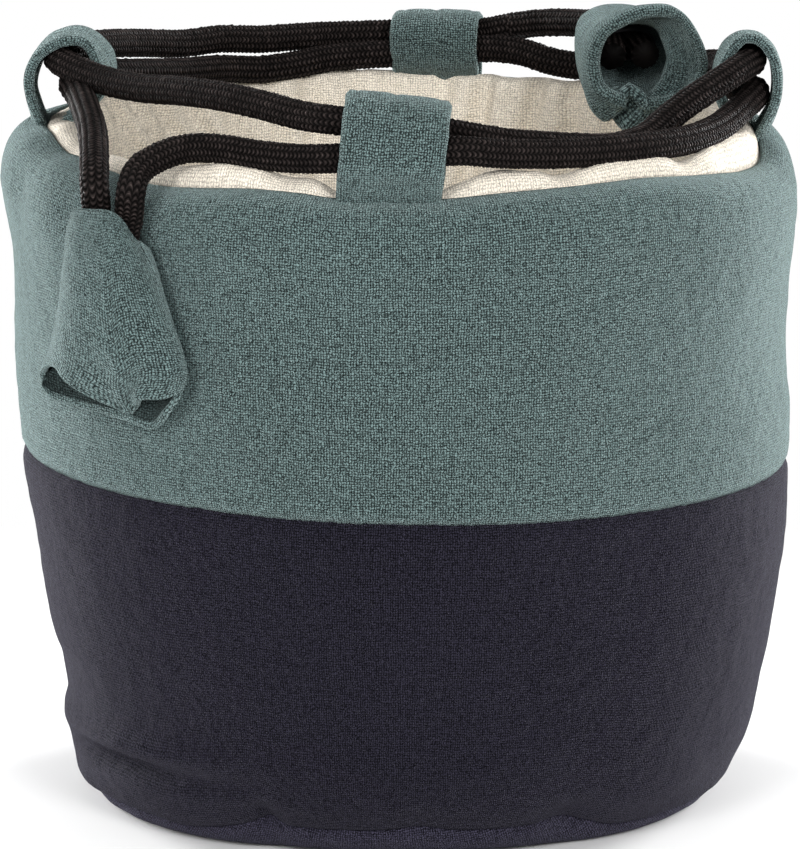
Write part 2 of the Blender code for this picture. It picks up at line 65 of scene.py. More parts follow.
# Rim crest, where the outer cloth meets the lining: (degrees, height) in millimetres
CREST_HEIGHTS = [
    (-177, 115.2), (-167, 115.7), (-161.5, 114.7), (-157, 114.0), (-152, 114.1), (-132.5, 112.4),
    (-123, 112.9), (-114, 113.6), (-105.6, 113.4), (-100, 112.8), (-91, 112.7), (-83, 112.8),
    (-74, 113.4), (-67, 113.6), (-57, 113.7), (-49, 113.6), (-40, 112.7), (-28, 111.3),
    (-19, 110.2), (-9, 110.2), (-2, 112.6), (12, 114.3), (35, 113.8), (60, 113.2), (84, 113.4),
    (110, 113.2), (140, 113.6), (165, 114.8),
]
# How far the lining puffs up over the crest: (degrees, millimetres)
LINING_PUFFS = [
    (-175, 0.8), (-165, 1.6), (-155, 1.0), (-140, 2.0), (-128, 2.9), (-118, 3.7), (-109, 1.6),
    (-104, 1.9), (-99, 0.4), (-85, 0.5), (-80, 2.0), (-74, 3.2), (-67, 2.3), (-63, 1.2), (-55, 3.0),
    (-44, 3.4), (-37, 2.1), (-29, 4.0), (-18, 5.6), (-8, 4.8), (0, 1.6), (15, 1.0), (38, 1.8),
    (58, 0.9), (82, 0.4), (98, 1.4), (120, 0.9), (143, 1.7), (160, 0.8),
]
# Outer wall, in millimetres: (height, radius, how much further out the left and right sides are)
OUTER_WALL = [
    (7.1, 57.0, -1.0, 1.2), (10.6, 58.3, -1.3, 1.5), (14.2, 59.2, -1.4, 1.7),
    (17.7, 59.8, -2.7, 1.8), (21.3, 60.2, -2.6, 2.0), (24.8, 60.7, -2.4, 2.3),
    (28.4, 61.4, -1.7, 2.1), (35.4, 62.6, -1.6, 2.0), (45.9, 63.9, -1.3, 2.0),
    (56.4, 64.8, -0.5, 1.4), (66.9, 65.1, -0.3, 1.2), (77.3, 65.4, 0.0, 0.0),
    (87.7, 65.8, -0.3, 0.1), (94.6, 66.2, -0.5, 0.4),
]
# The wall's edge at the base seam: (degrees, height, radius) in millimetres
WALL_FOOT = [
    (-176, 2.4, 53.6), (-162, 2.6, 53.6), (-150, 2.8, 53.3), (-142, 2.8, 53.2), (-133, 2.7, 53.2),
    (-128, 3.2, 53.2), (-122, 4.3, 53.2), (-118, 5.3, 52.8), (-114.3, 6.8, 51.9), (-111, 5.6, 52.8),
    (-106, 5.5, 53.2), (-97, 5.5, 53.3), (-91, 5.8, 53.2), (-86.5, 6.2, 52.8), (-81, 5.6, 53.2),
    (-72, 5.3, 53.3), (-65, 5.4, 53.1), (-59.5, 6.1, 52.4), (-54.5, 4.8, 52.9), (-49, 3.2, 53.0),
    (-41, 2.6, 53.2), (-33, 2.4, 53.4), (-25, 2.2, 53.9), (-10, 2.0, 54.6), (5, 2.0, 54.8),
    (20, 2.4, 54.6), (38, 4.4, 53.2), (46, 3.3, 53.6), (68, 3.5, 53.6), (88, 5.0, 52.8),
    (96, 3.8, 53.5), (120, 3.4, 53.6), (141, 4.9, 52.8), (150, 3.5, 53.7), (168, 2.4, 53.8),
]
# The wall's turn under at its foot, from the edge: (out, up) in millimetres
FOOT_TURN = [(-1.5, 0.9), (-0.6, 0.05), (0.6, 0.1), (1.9, 1.5)]
# Its dents and bumps: (degrees, height in mm, half its width in degrees, half its height in mm,
# how it slopes in mm for each degree, how far out in mm)
WALL_DENTS = [
    (-143.0, 11.8, 18.0, 1.7, 0.03, -3.7), (-140.0, 16.0, 17.0, 2.2, 0.03, 1.5),
    (-30.0, 16.0, 12.0, 4.0, 0.1, -0.5), (-24.0, 9.0, 8.0, 3.0, 0.0, -0.6),
    (-96.0, 30.0, 26.0, 14.0, 0.0, -0.5), (-120.0, 86.0, 22.0, 14.0, 0.0, 0.4),
    (-66.0, 92.0, 20.0, 10.0, 0.0, 0.4), (-150.0, 104.0, 6.0, 6.0, 0.0, 0.7),
    (-161.0, 108.0, 4.0, 6.0, 0.0, -0.9), (35.0, 24.0, 14.0, 4.0, -0.08, -1.1),
    (120.0, 18.0, 16.0, 3.4, 0.08, -1.3), (75.0, 84.0, 20.0, 12.0, 0.0, -0.6),
]
# Where the base panel leaves the floor: (degrees, radius in millimetres)
BASE_FLAT = [
    (-178, 50.8), (-154, 51.0), (-145, 50.8), (-140, 50.4), (-135, 49.8), (-125, 48.6),
    (-117, 47.2), (-112, 46.2), (-101, 45.0), (-90, 44.6), (-79, 45.2), (-69, 46.6), (-62, 47.6),
    (-50, 49.8), (-42, 50.8), (-37, 51.2), (-25, 51.6), (0, 52.4), (20, 52.0), (60, 50.5),
    (90, 49.5), (130, 50.5), (160, 51.0),
]
# The panel's edge: (share of the way from there out to the wall, share of the foot's height)
BASE_EDGE = [(0.08, 0.02), (0.4, 0.09), (0.74, 0.29), (0.95, 0.6), (1.0, 0.9), (0.9, 1.12)]
# The wadding over the base: (radius, height) in millimetres
BASE_WADDING = [
    (2.0, 1.5), (30.0, 1.6), (44.0, 1.7), (46.2, 3.6), (45.8, 6.4), (42.0, 7.9), (22.0, 8.2),
    (2.0, 8.3),
]
# The wall's roll over to the crest: (out from the crest, below the crest), in millimetres
RIM_ROLL = [(6.9, 10.5), (6.8, 7.2), (5.9, 3.6), (4.2, 1.3), (2.0, 0.3), (0.0, 0.0)]
CREST_RADIUS = 60.0 * MM
# The lining's way over its puff: (radius, over the crest in mm, share of the puff)
LINING_TOP = [(59.7, -0.5, 0.0), (59.2, -0.1, 0.55), (57.7, 0.0, 1.0), (56.1, -0.8, 0.9)]
# Folds that run down the lining: (degrees at the crest, degrees 20 mm down, how deep, half their
# width in mm)
LINING_FOLDS = [
    (107.0, 105.0, 1.4, 1.5), (74.3, 77.8, 2.2, 1.6), (64.2, 67.2, 1.8, 1.5),
    (56.4, 56.8, 1.4, 1.3), (126.0, 116.0, 1.0, 1.8), (92.0, 91.0, 0.8, 1.2),
    (48.0, 46.0, 1.2, 1.4), (134.0, 121.0, 0.8, 1.6), (141.0, 127.0, 0.9, 1.7),
    (147.5, 132.0, 0.8, 1.5), (154.0, 138.0, 0.9, 1.5), (99.0, 98.0, 0.7, 1.0),
    (82.0, 83.0, 0.8, 1.0), (115.0, 110.0, 0.8, 1.1),
]
# Inside of the wall, from below the puff to the base seam: (height, radius) in millimetres
LINING_WALL = [
    (108.5, 55.3), (104.0, 55.0), (92.0, 54.8), (77.0, 54.7), (59.0, 54.1), (45.9, 53.1),
    (35.0, 51.6), (25.0, 49.7), (15.0, 48.4), (10.6, 47.2), (9.6, 45.6),
]

# Routes of the drawcords through the loops, in millimetres
HANGING_RING = [
    (-29.3, -48.5, 119.0), (-22.8, -51.5, 118.5), (-16.4, -55.5, 118.6), (-10.0, -59.0, 119.3),
    (-1.3, -60.9, 119.9), (9.0, -60.6, 120.8), (17.5, -56.6, 119.6), (29.3, -49.0, 118.4),
    (40.5, -39.5, 117.8), (47.5, -30.3, 117.3), (53.0, -20.0, 117.6), (57.4, -10.0, 119.2),
    (59.9, -3.0, 120.3), (59.8, 3.5, 120.0), (58.3, 12.0, 118.8), (55.9, 24.5, 117.6),
    (49.2, 34.9, 117.0), (42.0, 42.4, 116.6), (33.4, 46.2, 116.8), (27.0, 49.2, 117.3),
    (21.2, 53.0, 118.5), (14.8, 55.8, 118.6), (6.7, 57.0, 117.7), (-1.4, 56.2, 117.6),
    (-12.4, 54.4, 117.1), (-17.7, 52.2, 116.4), (-24.7, 48.8, 116.0), (-31.6, 44.0, 116.9),
    (-38.0, 34.9, 117.9), (-44.6, 24.8, 119.4), (-51.4, 15.6, 120.8), (-55.2, 9.5, 120.9),
    (-55.4, 3.0, 120.7), (-54.9, -4.0, 121.8), (-54.0, -9.5, 121.6),
]
HANGING_FRONT_TAIL = [(-42.3, -52.6, 116.2), (-38.7, -50.0, 118.1), (-34.5, -48.3, 119.0)]
HANGING_BACK_TAIL = [
    (-53.0, -15.5, 121.3), (-52.0, -23.0, 120.7), (-50.9, -31.5, 119.8), (-50.1, -40.5, 118.4),
    (-49.7, -48.6, 116.0),
]
LYING_RING = [
    (53.0, 45.3, 117.6), (56.6, 36.8, 119.2), (59.4, 27.5, 121.2), (60.0, 15.0, 123.6),
    (59.7, 5.0, 125.6), (59.2, -3.5, 126.0), (56.7, -10.5, 125.8), (52.0, -16.5, 123.8),
    (48.0, -21.0, 122.0), (44.5, -25.0, 120.0), (40.3, -30.5, 117.6), (35.0, -36.5, 117.1),
    (28.7, -43.3, 118.3), (22.6, -48.2, 119.5), (16.5, -51.4, 120.6),
    (8.4, -55.4, 122.7), (-1.3, -56.8, 124.5), (-10.0, -56.2, 125.0), (-16.3, -51.5, 125.1),
    (-22.8, -45.5, 125.8), (-29.5, -38.5, 126.0), (-36.2, -30.5, 125.5), (-43.2, -21.5, 124.5),
    (-50.2, -12.5, 124.5), (-56.2, -5.0, 125.7), (-58.0, 1.8, 126.2), (-56.0, 10.0, 126.0),
    (-51.3, 20.0, 125.2), (-45.6, 30.3, 123.7), (-38.3, 39.5, 122.1), (-31.6, 45.8, 121.9),
    (-24.7, 50.5, 121.1), (-17.7, 55.2, 120.8), (-12.4, 58.2, 120.6), (-1.4, 60.4, 120.6),
    (6.7, 60.9, 120.6), (14.8, 60.6, 120.9), (20.4, 58.2, 122.3),
]
LYING_BACK_TAIL = [(20.4, 58.2, 122.3), (26.4, 54.2, 123.5)]
LYING_SIDE_TAIL = [
    (53.0, 45.3, 117.6), (50.4, 51.8, 118.2), (46.6, 56.6, 119.8), (41.8, 57.6, 122.0),
    (38.9, 54.2, 123.8),
]

# Middle of the strap of each loop at its one edge and at its other: (out from the crest, up), in
# millimetres. The first edge is the left one, or the one nearer the front.
LOOP_OUTLINES = {
    "front": (
        [
            (0.6, -3.4), (0.9, 0.2), (2.6, 3.4), (4.2, 6.4), (3.9, 9.8), (2.5, 13.4), (0.2, 15.8),
            (-3.2, 16.3), (-6.6, 14.8), (-8.6, 11.8), (-8.6, 8.2), (-6.1, 4.6), (-2.6, 1.2),
            (-0.8, -3.4),
        ],
        [
            (0.6, -3.4), (0.9, -0.6), (2.6, 2.6), (4.4, 5.6), (4.3, 8.4), (3.0, 11.6), (0.8, 13.8),
            (-2.8, 14.5), (-6.4, 13.4), (-8.6, 10.8), (-8.6, 7.6), (-5.9, 4.0), (-2.4, 0.6),
            (-0.8, -3.4),
        ],
    ),
    "right": (
        [
            (0.4, -3.4), (1.5, 1.4), (2.6, 4.5), (3.4, 7.4), (3.5, 10.4), (3.2, 12.8), (2.3, 15.0),
            (1.0, 16.7), (-0.6, 17.5), (-2.2, 17.5), (-3.5, 16.5), (-5.1, 14.4), (-6.2, 11.6),
            (-6.4, 8.4), (-5.2, 4.8), (-3.0, 1.6), (-0.9, -3.4),
        ],
        [
            (0.4, -3.4), (1.9, 0.8), (3.5, 4.2), (4.2, 7.7), (3.8, 11.1), (2.6, 13.8), (0.4, 15.6),
            (-2.4, 15.7), (-4.4, 14.5), (-5.6, 12.6), (-6.1, 10.4), (-6.2, 7.4), (-5.0, 4.0),
            (-2.8, 1.2), (-0.9, -3.4),
        ],
    ),
    "back": (
        [
            (0.6, -3.4), (1.2, 0.2), (3.4, 3.2), (5.2, 6.0), (5.2, 8.6), (3.4, 10.4), (0.4, 10.8),
            (-3.0, 11.1), (-5.6, 10.3), (-6.9, 8.2), (-6.9, 5.4), (-5.7, 2.9), (-3.5, 1.4),
            (-1.4, -0.4), (-0.7, -3.4),
        ],
        [
            (0.6, -3.4), (1.2, 0.2), (3.4, 3.2), (5.2, 6.0), (5.2, 8.6), (3.4, 10.4), (0.4, 10.9),
            (-3.0, 11.2), (-5.6, 10.3), (-6.9, 8.2), (-6.9, 5.4), (-5.7, 2.9), (-3.5, 1.4),
            (-1.4, -0.4), (-0.7, -3.4),
        ],
    ),
    "left": (
        [
            (0.2, -3.4), (0.7, 0.6), (1.6, 4.0), (2.5, 6.5), (2.9, 9.1), (2.5, 11.6), (1.2, 13.9),
            (-1.5, 16.0), (-4.5, 16.8), (-6.5, 16.5), (-7.8, 15.3), (-9.0, 13.1), (-9.6, 10.6),
            (-9.2, 7.8), (-7.4, 5.2), (-4.8, 3.0), (-2.4, 0.8), (-0.8, -3.4),
        ],
        [
            (0.2, -3.4), (1.0, 0.6), (2.2, 3.7), (2.8, 6.3), (2.3, 9.6), (0.9, 12.6), (-1.4, 15.1),
            (-4.6, 16.2), (-7.0, 15.8), (-9.3, 14.3), (-10.8, 12.1), (-11.2, 9.6), (-10.6, 7.2),
            (-8.6, 4.9), (-6.0, 3.0), (-3.2, 0.8), (-0.8, -3.4),
        ],
    ),
}
STRAP_LENGTH = 0.052  # of each loop, in metres
# (name, degrees round the rim, turn of the strap about the upright, sideways lean at its top in
# mm, width in mm, how far sideways its feet are sewn in mm, their width as a share)
LOOPS = [
    ("front", 268.3, 0.0, 1.5, 17.3, 0.0, 1.0), ("right", 359.4, 0.6, 0.0, 15.8, 3.4, 0.66),
    ("back", 83.6, 0.0, 0.0, 15.4, 0.0, 1.0), ("left", 177.3, 2.7, 0.0, 16.4, 1.0, 0.9),
]

# Hanging cover: middle of its neck, way down it, way across it to the right of the picture
HANGING_NECK = Vector((-46.7, -54.4, 109.7)) * MM
HANGING_WAY = Vector((0.026, -0.020, -0.999))
HANGING_ACROSS = Vector((0.80, -0.60, 0.033))
# The cord ends in it: (depth, across, out) in millimetres, from just over the neck
HANGING_ENDS = {
    "right": [(-3.6, 3.1, -1.4), (0.5, 2.6, -1.2), (4.5, 2.1, -0.5), (11.5, 2.0, 0.0)],
    "left": [(-3.6, -3.4, 0.0), (0.5, -3.2, 0.0), (4.5, -3.1, 0.0), (11.5, -3.0, 0.0)],
}
# (depth, left edge, right edge, half its thickness) in millimetres down the cover
HANGING_EDGES = [
    (-1.8, -5.2, 3.4, 3.8), (-1.0, -6.4, 4.0, 3.9), (0.0, -7.0, 4.4, 4.1), (1.0, -7.6, 4.8, 4.2),
    (3.7, -8.9, 5.6, 4.6), (7.9, -10.1, 7.5, 5.0),
    (12.3, -11.5, 8.8, 5.2), (17.0, -13.1, 10.3, 5.2), (22.0, -15.2, 12.0, 5.0),
    (26.0, -17.6, 12.9, 4.8), (29.0, -20.4, 11.9, 4.8), (32.0, -19.8, 10.4, 4.6),
    (36.0, -18.4, 9.2, 4.4),
]
# Its top edge, in the same way as its lip: (degrees, depth)
HANGING_TOP = [
    (0, 4.6), (8, 3.2), (14, 2.0), (20, 1.0), (30, 0.0), (45, -0.7), (65, -1.0), (90, -0.9),
    (125, -0.8), (155, -0.3), (180, 0.4), (215, 1.0), (270, 1.6), (305, 3.6), (335, 5.6),
]
# Where its lip is: (degrees round it from its right edge over the front, depth) in millimetres
HANGING_LIP = [
    (0, 28.6), (30, 29.4), (46, 29.4), (58, 29.9), (66, 31.4), (72, 33.2), (78, 32.0), (92, 29.0),
    (112, 27.1), (127, 25.9), (146, 26.5), (165, 28.2), (180, 30.4), (203, 32.4), (227, 33.2),
    (250, 33.8), (270, 34.2), (290, 34.8), (307, 35.4), (325, 33.6), (345, 30.4),
]
# Lying cover: middle of its neck, middle of its mouth
LYING_NECK = Vector((37.0, 43.0, 124.1)) * MM
LYING_MOUTH = Vector((43.0, 18.5, 120.9)) * MM
# The cord ends in it: (depth, half the way apart, how far to the side) in millimetres
LYING_ENDS = [(-3.4, 2.4, 0.0), (2.0, 2.4, 0.0), (10.0, 2.6, 0.5), (16.5, 3.0, 1.4)]
# Its outline at shares of the way to the mouth: (across to its left, down) in mm, from its left
# over its top
LYING_RINGS = [
    (0.00, [
        (5.6, 0.0), (4.6, -3.1), (0.0, -4.3), (-4.6, -3.1), (-5.8, 0.0), (-4.6, 3.1), (0.0, 4.3),
        (4.6, 3.1),
    ]),
    (0.12, [
        (6.9, 0.0), (5.4, -4.4), (0.2, -5.5), (-5.0, -4.2), (-6.7, 0.4), (-5.0, 4.0), (0.0, 5.3),
        (5.2, 4.2),
    ]),
    (0.32, [
        (8.8, -1.0), (7.4, -5.4), (1.4, -6.0), (-4.6, -5.4), (-7.2, -0.4), (-5.6, 5.2), (0.6, 7.6),
        (6.8, 5.8),
    ]),
    (0.58, [
        (10.7, -1.6), (8.3, -6.0), (2.6, -6.7), (-4.2, -6.0), (-8.2, -0.6), (-6.6, 6.2), (0.8, 9.8),
        (8.0, 7.4),
    ]),
    (0.80, [
        (11.4, -1.8), (8.8, -7.2), (2.0, -9.6), (-4.9, -8.2), (-9.4, -1.2), (-7.4, 6.2),
        (0.8, 11.4), (8.8, 7.8),
    ]),
    (0.93, [
        (11.8, -1.6), (9.3, -8.0), (1.4, -11.3), (-5.6, -9.6), (-10.0, -1.4), (-7.8, 6.2),
        (1.0, 11.4), (9.6, 7.2),
    ]),
    (1.00, [
        (11.6, -1.6), (9.2, -8.0), (1.2, -11.6), (-5.8, -9.7), (-10.1, -1.4), (-7.6, 4.6),
        (1.0, 7.0), (9.2, 4.4),
    ]),
]
# The thickness of its wall at those eight places, in mm, at shares of the way to the mouth
LYING_WALL = [
    (0.00, [1.4] * 8), (0.56, [1.4] * 8),
    (0.82, [3.0, 2.6, 3.0, 4.8, 5.6, 4.6, 4.2, 3.4]),
    (0.93, [2.8, 2.4, 2.6, 3.2, 3.2, 2.8, 3.4, 3.2]),
    (1.00, [2.6, 2.2, 2.3, 1.9, 1.7, 1.9, 2.6, 2.6]),
]


class PouchSizes(bpy.types.PropertyGroup):
    cloth: FloatProperty(
        name="Outer cloth", description="Thickness of the outer cloth", default=1.2 * MM,
        unit="LENGTH", precision=4,
    )
    lining: FloatProperty(
        name="Lining", description="Thickness of the lining", default=0.9 * MM, unit="LENGTH",
        precision=4,
    )
    upper_pitch: FloatProperty(
        name="Upper pitch", description="From thread to thread in the upper cloth",
        default=0.455 * MM, unit="LENGTH", precision=5,
    )
    lower_pitch: FloatProperty(
        name="Lower pitch", description="From thread to thread in the lower cloth",
        default=0.427 * MM, unit="LENGTH", precision=5,
    )
    linen_pitch: FloatProperty(
        name="Linen pitch", description="From thread to thread in the lining", default=0.52 * MM,
        unit="LENGTH", precision=5,
    )
    strap_width: FloatProperty(
        name="Loop width", description="Width of the cord loops", default=16.8 * MM,
        unit="LENGTH", precision=4,
    )
    strap: FloatProperty(
        name="Loop thickness", description="Thickness of the folded cloth of the loops",
        default=1.7 * MM, unit="LENGTH", precision=4,
    )
    cord: FloatProperty(
        name="Cord diameter", description="Diameter of the drawcords", default=4.7 * MM,
        unit="LENGTH", precision=4,
    )
    stitch: FloatProperty(
        name="Braid stitch", description="Length of one stitch of the cords' braid",
        default=0.82 * MM, unit="LENGTH", precision=5,
    )
    braid_columns: IntProperty(
        name="Braid columns", description="Columns of stitches round a drawcord", default=12
    )
    braid_relief: FloatProperty(
        name="Braid relief", description="How far the stitches stand out", default=0.34 * MM,
        unit="LENGTH", precision=5,
    )
    crinkle: FloatProperty(
        name="Crinkle", description="Height of the crinkles in the outer cloth", default=0.16 * MM,
        unit="LENGTH", precision=5,
    )


class PouchColours(bpy.types.PropertyGroup):
    upper: FloatVectorProperty(
        name="Upper cloth", description="Threads of the upper band, loops and covers",
        default=(0.072, 0.1040, 0.1025), subtype="COLOR", min=0, max=1,
    )
    lower: FloatVectorProperty(
        name="Lower cloth", description="Threads of the lower band and base",
        default=(0.0142, 0.0132, 0.0208), subtype="COLOR", min=0, max=1,
    )
    linen: FloatVectorProperty(
        name="Lining", description="Threads of the lining", default=(0.90, 0.824, 0.705),
        subtype="COLOR", min=0, max=1,
    )
    wadding: FloatVectorProperty(
        name="Wadding", description="Filling of the wall and base", default=(0.86, 0.85, 0.81),
        subtype="COLOR", min=0, max=1,
    )
    cord: FloatVectorProperty(
        name="Cord", description="Yarn of the drawcords", default=(0.0120, 0.0093, 0.0087),
        subtype="COLOR", min=0, max=1,
    )
    thread: FloatVectorProperty(
        name="Thread", description="Thread sewn round the cord ends", default=(0.020, 0.018, 0.022),
        subtype="COLOR", min=0, max=1,
    )


class PouchStage(bpy.types.PropertyGroup):
    sides: FloatProperty(
        name="Side lamps", description="Power of the two lamps beside the bag", default=9.5,
        unit="POWER",
    )
    top: FloatProperty(
        name="Top lamp", description="Power of the lamp over the bag", default=0.9, unit="POWER"
    )
    front: FloatProperty(
        name="Front lamps", description="Power of the two soft lamps in front", default=15.0,
        unit="POWER",
    )
    surround: FloatProperty(
        name="Surround", description="Brightness of the white surround", default=0.40, min=0
    )


def sizes():
    return bpy.context.scene.pouch_sizes


def colours():
    return bpy.context.scene.pouch_colours


# Curves and surfaces

def through(knots, at, turn=None):
    """Values of a smooth curve through (place, value) knots; turn is its period if it closes."""
    table = np.array(knots, float)
    if turn:
        table = table[np.argsort(table[:, 0] % turn)]
        table[:, 0] %= turn
        before, after = table[-3:].copy(), table[:3].copy()
        before[:, 0] -= turn
        after[:, 0] += turn
        table = np.vstack([before, table, after])
        at = np.asarray(at, float) % turn
    x, y = table[:, 0], table[:, 1:]
    slope = np.gradient(y, axis=0) / np.gradient(x)[:, None]
    at = np.clip(np.asarray(at, float), x[0], x[-1])
    i = np.clip(np.searchsorted(x, at, "right") - 1, 0, len(x) - 2)
    gap = (x[i + 1] - x[i])[..., None]
    t = ((at - x[i])[..., None]) / gap
    value = (
        (2 * t**3 - 3 * t**2 + 1) * y[i] + (t**3 - 2 * t**2 + t) * gap * slope[i]
        + (3 * t**2 - 2 * t**3) * y[i + 1] + (t**3 - t**2) * gap * slope[i + 1]
    )
    return value[..., 0] if value.shape[-1] == 1 else value


def spline(points, steps, closed=False):
    """Points of a Catmull-Rom curve through the given ones, as an array."""
    p = np.array(points, float)
    if closed:
        p = np.vstack([p[-1:], p, p[:2]])
    else:
        p = np.vstack([2 * p[0] - p[1], p, 2 * p[-1] - p[-2]])
    found = []
    t = (np.arange(steps) / steps)[:, None]
    for a, b, c, d in zip(p, p[1:], p[2:], p[3:]):
        found.append(
            0.5 * (2 * b + (c - a) * t + (2 * a - 5 * b + 4 * c - d) * t**2
                   + (3 * b - a - 3 * c + d) * t**3)
        )
    found = np.vstack(found)
    return found if closed else np.vstack([found, p[-2]])


def run_along(points):
    """How far along its line each point is; further axes hold more lines."""
    steps = np.linalg.norm(np.diff(points, axis=0), axis=-1)
    return np.concatenate([np.zeros_like(steps[:1]), np.cumsum(steps, axis=0)])


def evenly(points, count):
    """count points at even distances along a line of points."""
    p = np.asarray(points, float)
    run = run_along(p)
    at = np.linspace(0, run[-1], count)
    return np.stack([np.interp(at, run, axis) for axis in p.T], 1)


def relief(points, size, seed=0.0):
    """Smooth noise from -1 to 1 at points, with bumps of about the given size."""
    points = np.asarray(points)
    off = Vector((seed, seed, seed))
    found = [noise.noise(Vector(p) / size + off) for p in points.reshape(-1, 3)]
    return np.array(found).reshape(points.shape[:-1])


def relief_vectors(points, size, seeds):
    return np.stack([relief(points, size, seed) for seed in seeds], -1)


def grid_piece(name, grid, uv, closed_rows=False, caps=False):
    """A mesh from a grid of points, closed round its columns, with a UV map in metres."""
    rows, columns = grid.shape[:2]
    points = grid.reshape(-1, 3)
    faces, uvs = [], []
    for r in range(rows if closed_rows else rows - 1):
        below, above = r * columns, (r + 1) % rows * columns
        for c in range(columns):
            k = (c + 1) % columns
            faces.append((below + c, below + k, above + k, above + c))
            uvs += [uv[r][c], uv[r][c + 1], uv[r + 1][c + 1], uv[r + 1][c]]
    if caps:
        low, high = len(points), len(points) + 1
        points = np.vstack([points, grid[0].mean(0), grid[-1].mean(0)])
        last = (rows - 1) * columns
        for c in range(columns):
            k = (c + 1) % columns
            faces += [(low, k, c), (high, last + c, last + k)]
            uvs += [uv[0][0]] * 3 + [uv[-1][0]] * 3
    mesh = bpy.data.meshes.new(name)
    mesh.from_pydata(points.tolist(), [], faces)
    layer = mesh.uv_layers.new(name="cloth")
    layer.data.foreach_set("uv", np.array(uvs, np.float32).ravel())
    mesh.update()
    piece = bpy.data.objects.new(name, mesh)
    bpy.context.scene.collection.objects.link(piece)
    return piece


def chosen(piece):
    bpy.ops.object.select_all(action="DESELECT")
    piece.select_set(True)
    bpy.context.view_layer.objects.active = piece


def inside_out(mesh):
    """Whether a closed mesh's faces point inwards, from the sign of its volume."""
    points = np.empty(len(mesh.vertices) * 3)
    mesh.vertices.foreach_get("co", points)
    mesh.calc_loop_triangles()
    corners = np.empty(len(mesh.loop_triangles) * 3, np.int32)
    mesh.loop_triangles.foreach_get("vertices", corners)
    a, b, c = points.reshape(-1, 3)[corners.reshape(-1, 3)].transpose(1, 0, 2)
    return (a * np.cross(b, c)).sum() < 0


def finished(piece, cloth, body=None, thickness=None):
    """Gives a piece its thickness, shading and material, and the body that it moves with."""
    chosen(piece)
    if thickness:
        wall = piece.modifiers.new("thickness", "SOLIDIFY")
        wall.thickness = thickness
        wall.offset = -1
        wall.use_quality_normals = True
        bpy.ops.object.modifier_apply(modifier=wall.name)
    if inside_out(piece.data):
        piece.data.flip_normals()
    bpy.ops.object.shade_smooth()
    piece.data.materials.clear()
    piece.data.materials.append(cloth)
    if body:
        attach(piece, body)


def sewn(piece, cloth, node, slot, flat, held, rests_on, thickness=None, body="bag", **cut):
    """Finishes a sheet of cloth, and hides the part of the model that it takes the place of."""
    finished(piece, cloth, body, thickness)
    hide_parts(node)


def cloth_uv(grid, around):
    """UV in metres: the places given round the columns, and the mean way up the rows."""
    up = np.linalg.norm(np.diff(grid, axis=0), axis=2).mean(1)
    up = np.concatenate([[0], np.cumsum(up), [up.sum() + up.mean()]])
    return [[(a, u) for a in around] for u in up]


# Materials. The scale of a noise is in bumps per metre.

class Nodes:
    """Short ways to add and join the nodes of a tree."""

    def __init__(self, tree):
        self.tree = tree

    def add(self, kind, **settings):
        node = self.tree.nodes.new("ShaderNode" + kind)
        for key, value in settings.items():
            setattr(node, key, value)
        return node

    def put(self, socket, value):
        if isinstance(value, bpy.types.NodeSocket):
            self.tree.links.new(value, socket)
        else:
            socket.default_value = value

    def fed(self, node, *values):
        """A node's first output, once its first inputs are given."""
        for socket, value in zip(node.inputs, values):
            self.put(socket, value)
        return node.outputs[0]

    def math(self, operation, *values, clamp=False):
        return self.fed(self.add("Math", operation=operation, use_clamp=clamp), *values)

    def total(self, start, scale, *parts):
        """start, plus each part's (value less a half) times its share and the scale."""
        for value, share in parts:
            over = self.math("SUBTRACT", value, 0.5)
            start = self.math("MULTIPLY_ADD", over, share * scale, start)
        return start

    def point(self, x, y, z=0.0):
        return self.fed(self.add("CombineXYZ"), x, y, z)

    def noise(self, vector, scale, detail=2.0, roughness=0.5):
        node = self.add("TexNoise")
        for name, value in (
            ("Vector", vector), ("Scale", scale), ("Detail", detail), ("Roughness", roughness)
        ):
            self.put(node.inputs[name], value)
        return node.outputs[0]

    def uv(self):
        vector = self.add("UVMap", uv_map="cloth").outputs[0]
        apart = self.add("SeparateXYZ")
        self.fed(apart, vector)
        return vector, apart.outputs[0], apart.outputs[1]

    def place(self):
        return self.add("TexCoord").outputs["Object"]

    def bump(self, height, strength, distance, normal=None):
        node = self.add("Bump")
        node.inputs["Strength"].default_value = strength
        node.inputs["Distance"].default_value = distance
        self.put(node.inputs["Height"], height)
        if normal is not None:
            self.put(node.inputs["Normal"], normal)
        return node.outputs[0]


class Finish(Nodes):
    """The nodes of a new material."""

    def __init__(self, name):
        self.material = bpy.data.materials.new(name)
        self.material.use_nodes = True
        super().__init__(self.material.node_tree)
        self.shader = self.tree.nodes["Principled BSDF"].inputs

    def surface(self, colour, shade, normal, **constants):
        """A colour times a shade, with a relief and the shader's constant values."""
        tint = self.add("VectorMath", operation="SCALE")
        tint.inputs[0].default_value = colour
        self.put(tint.inputs["Scale"], shade)
        self.put(self.shader["Base Color"], tint.outputs[0])
        self.put(self.shader["Normal"], normal)
        for name, value in constants.items():
            self.shader[name.replace("_", " ")].default_value = value
        return self.material


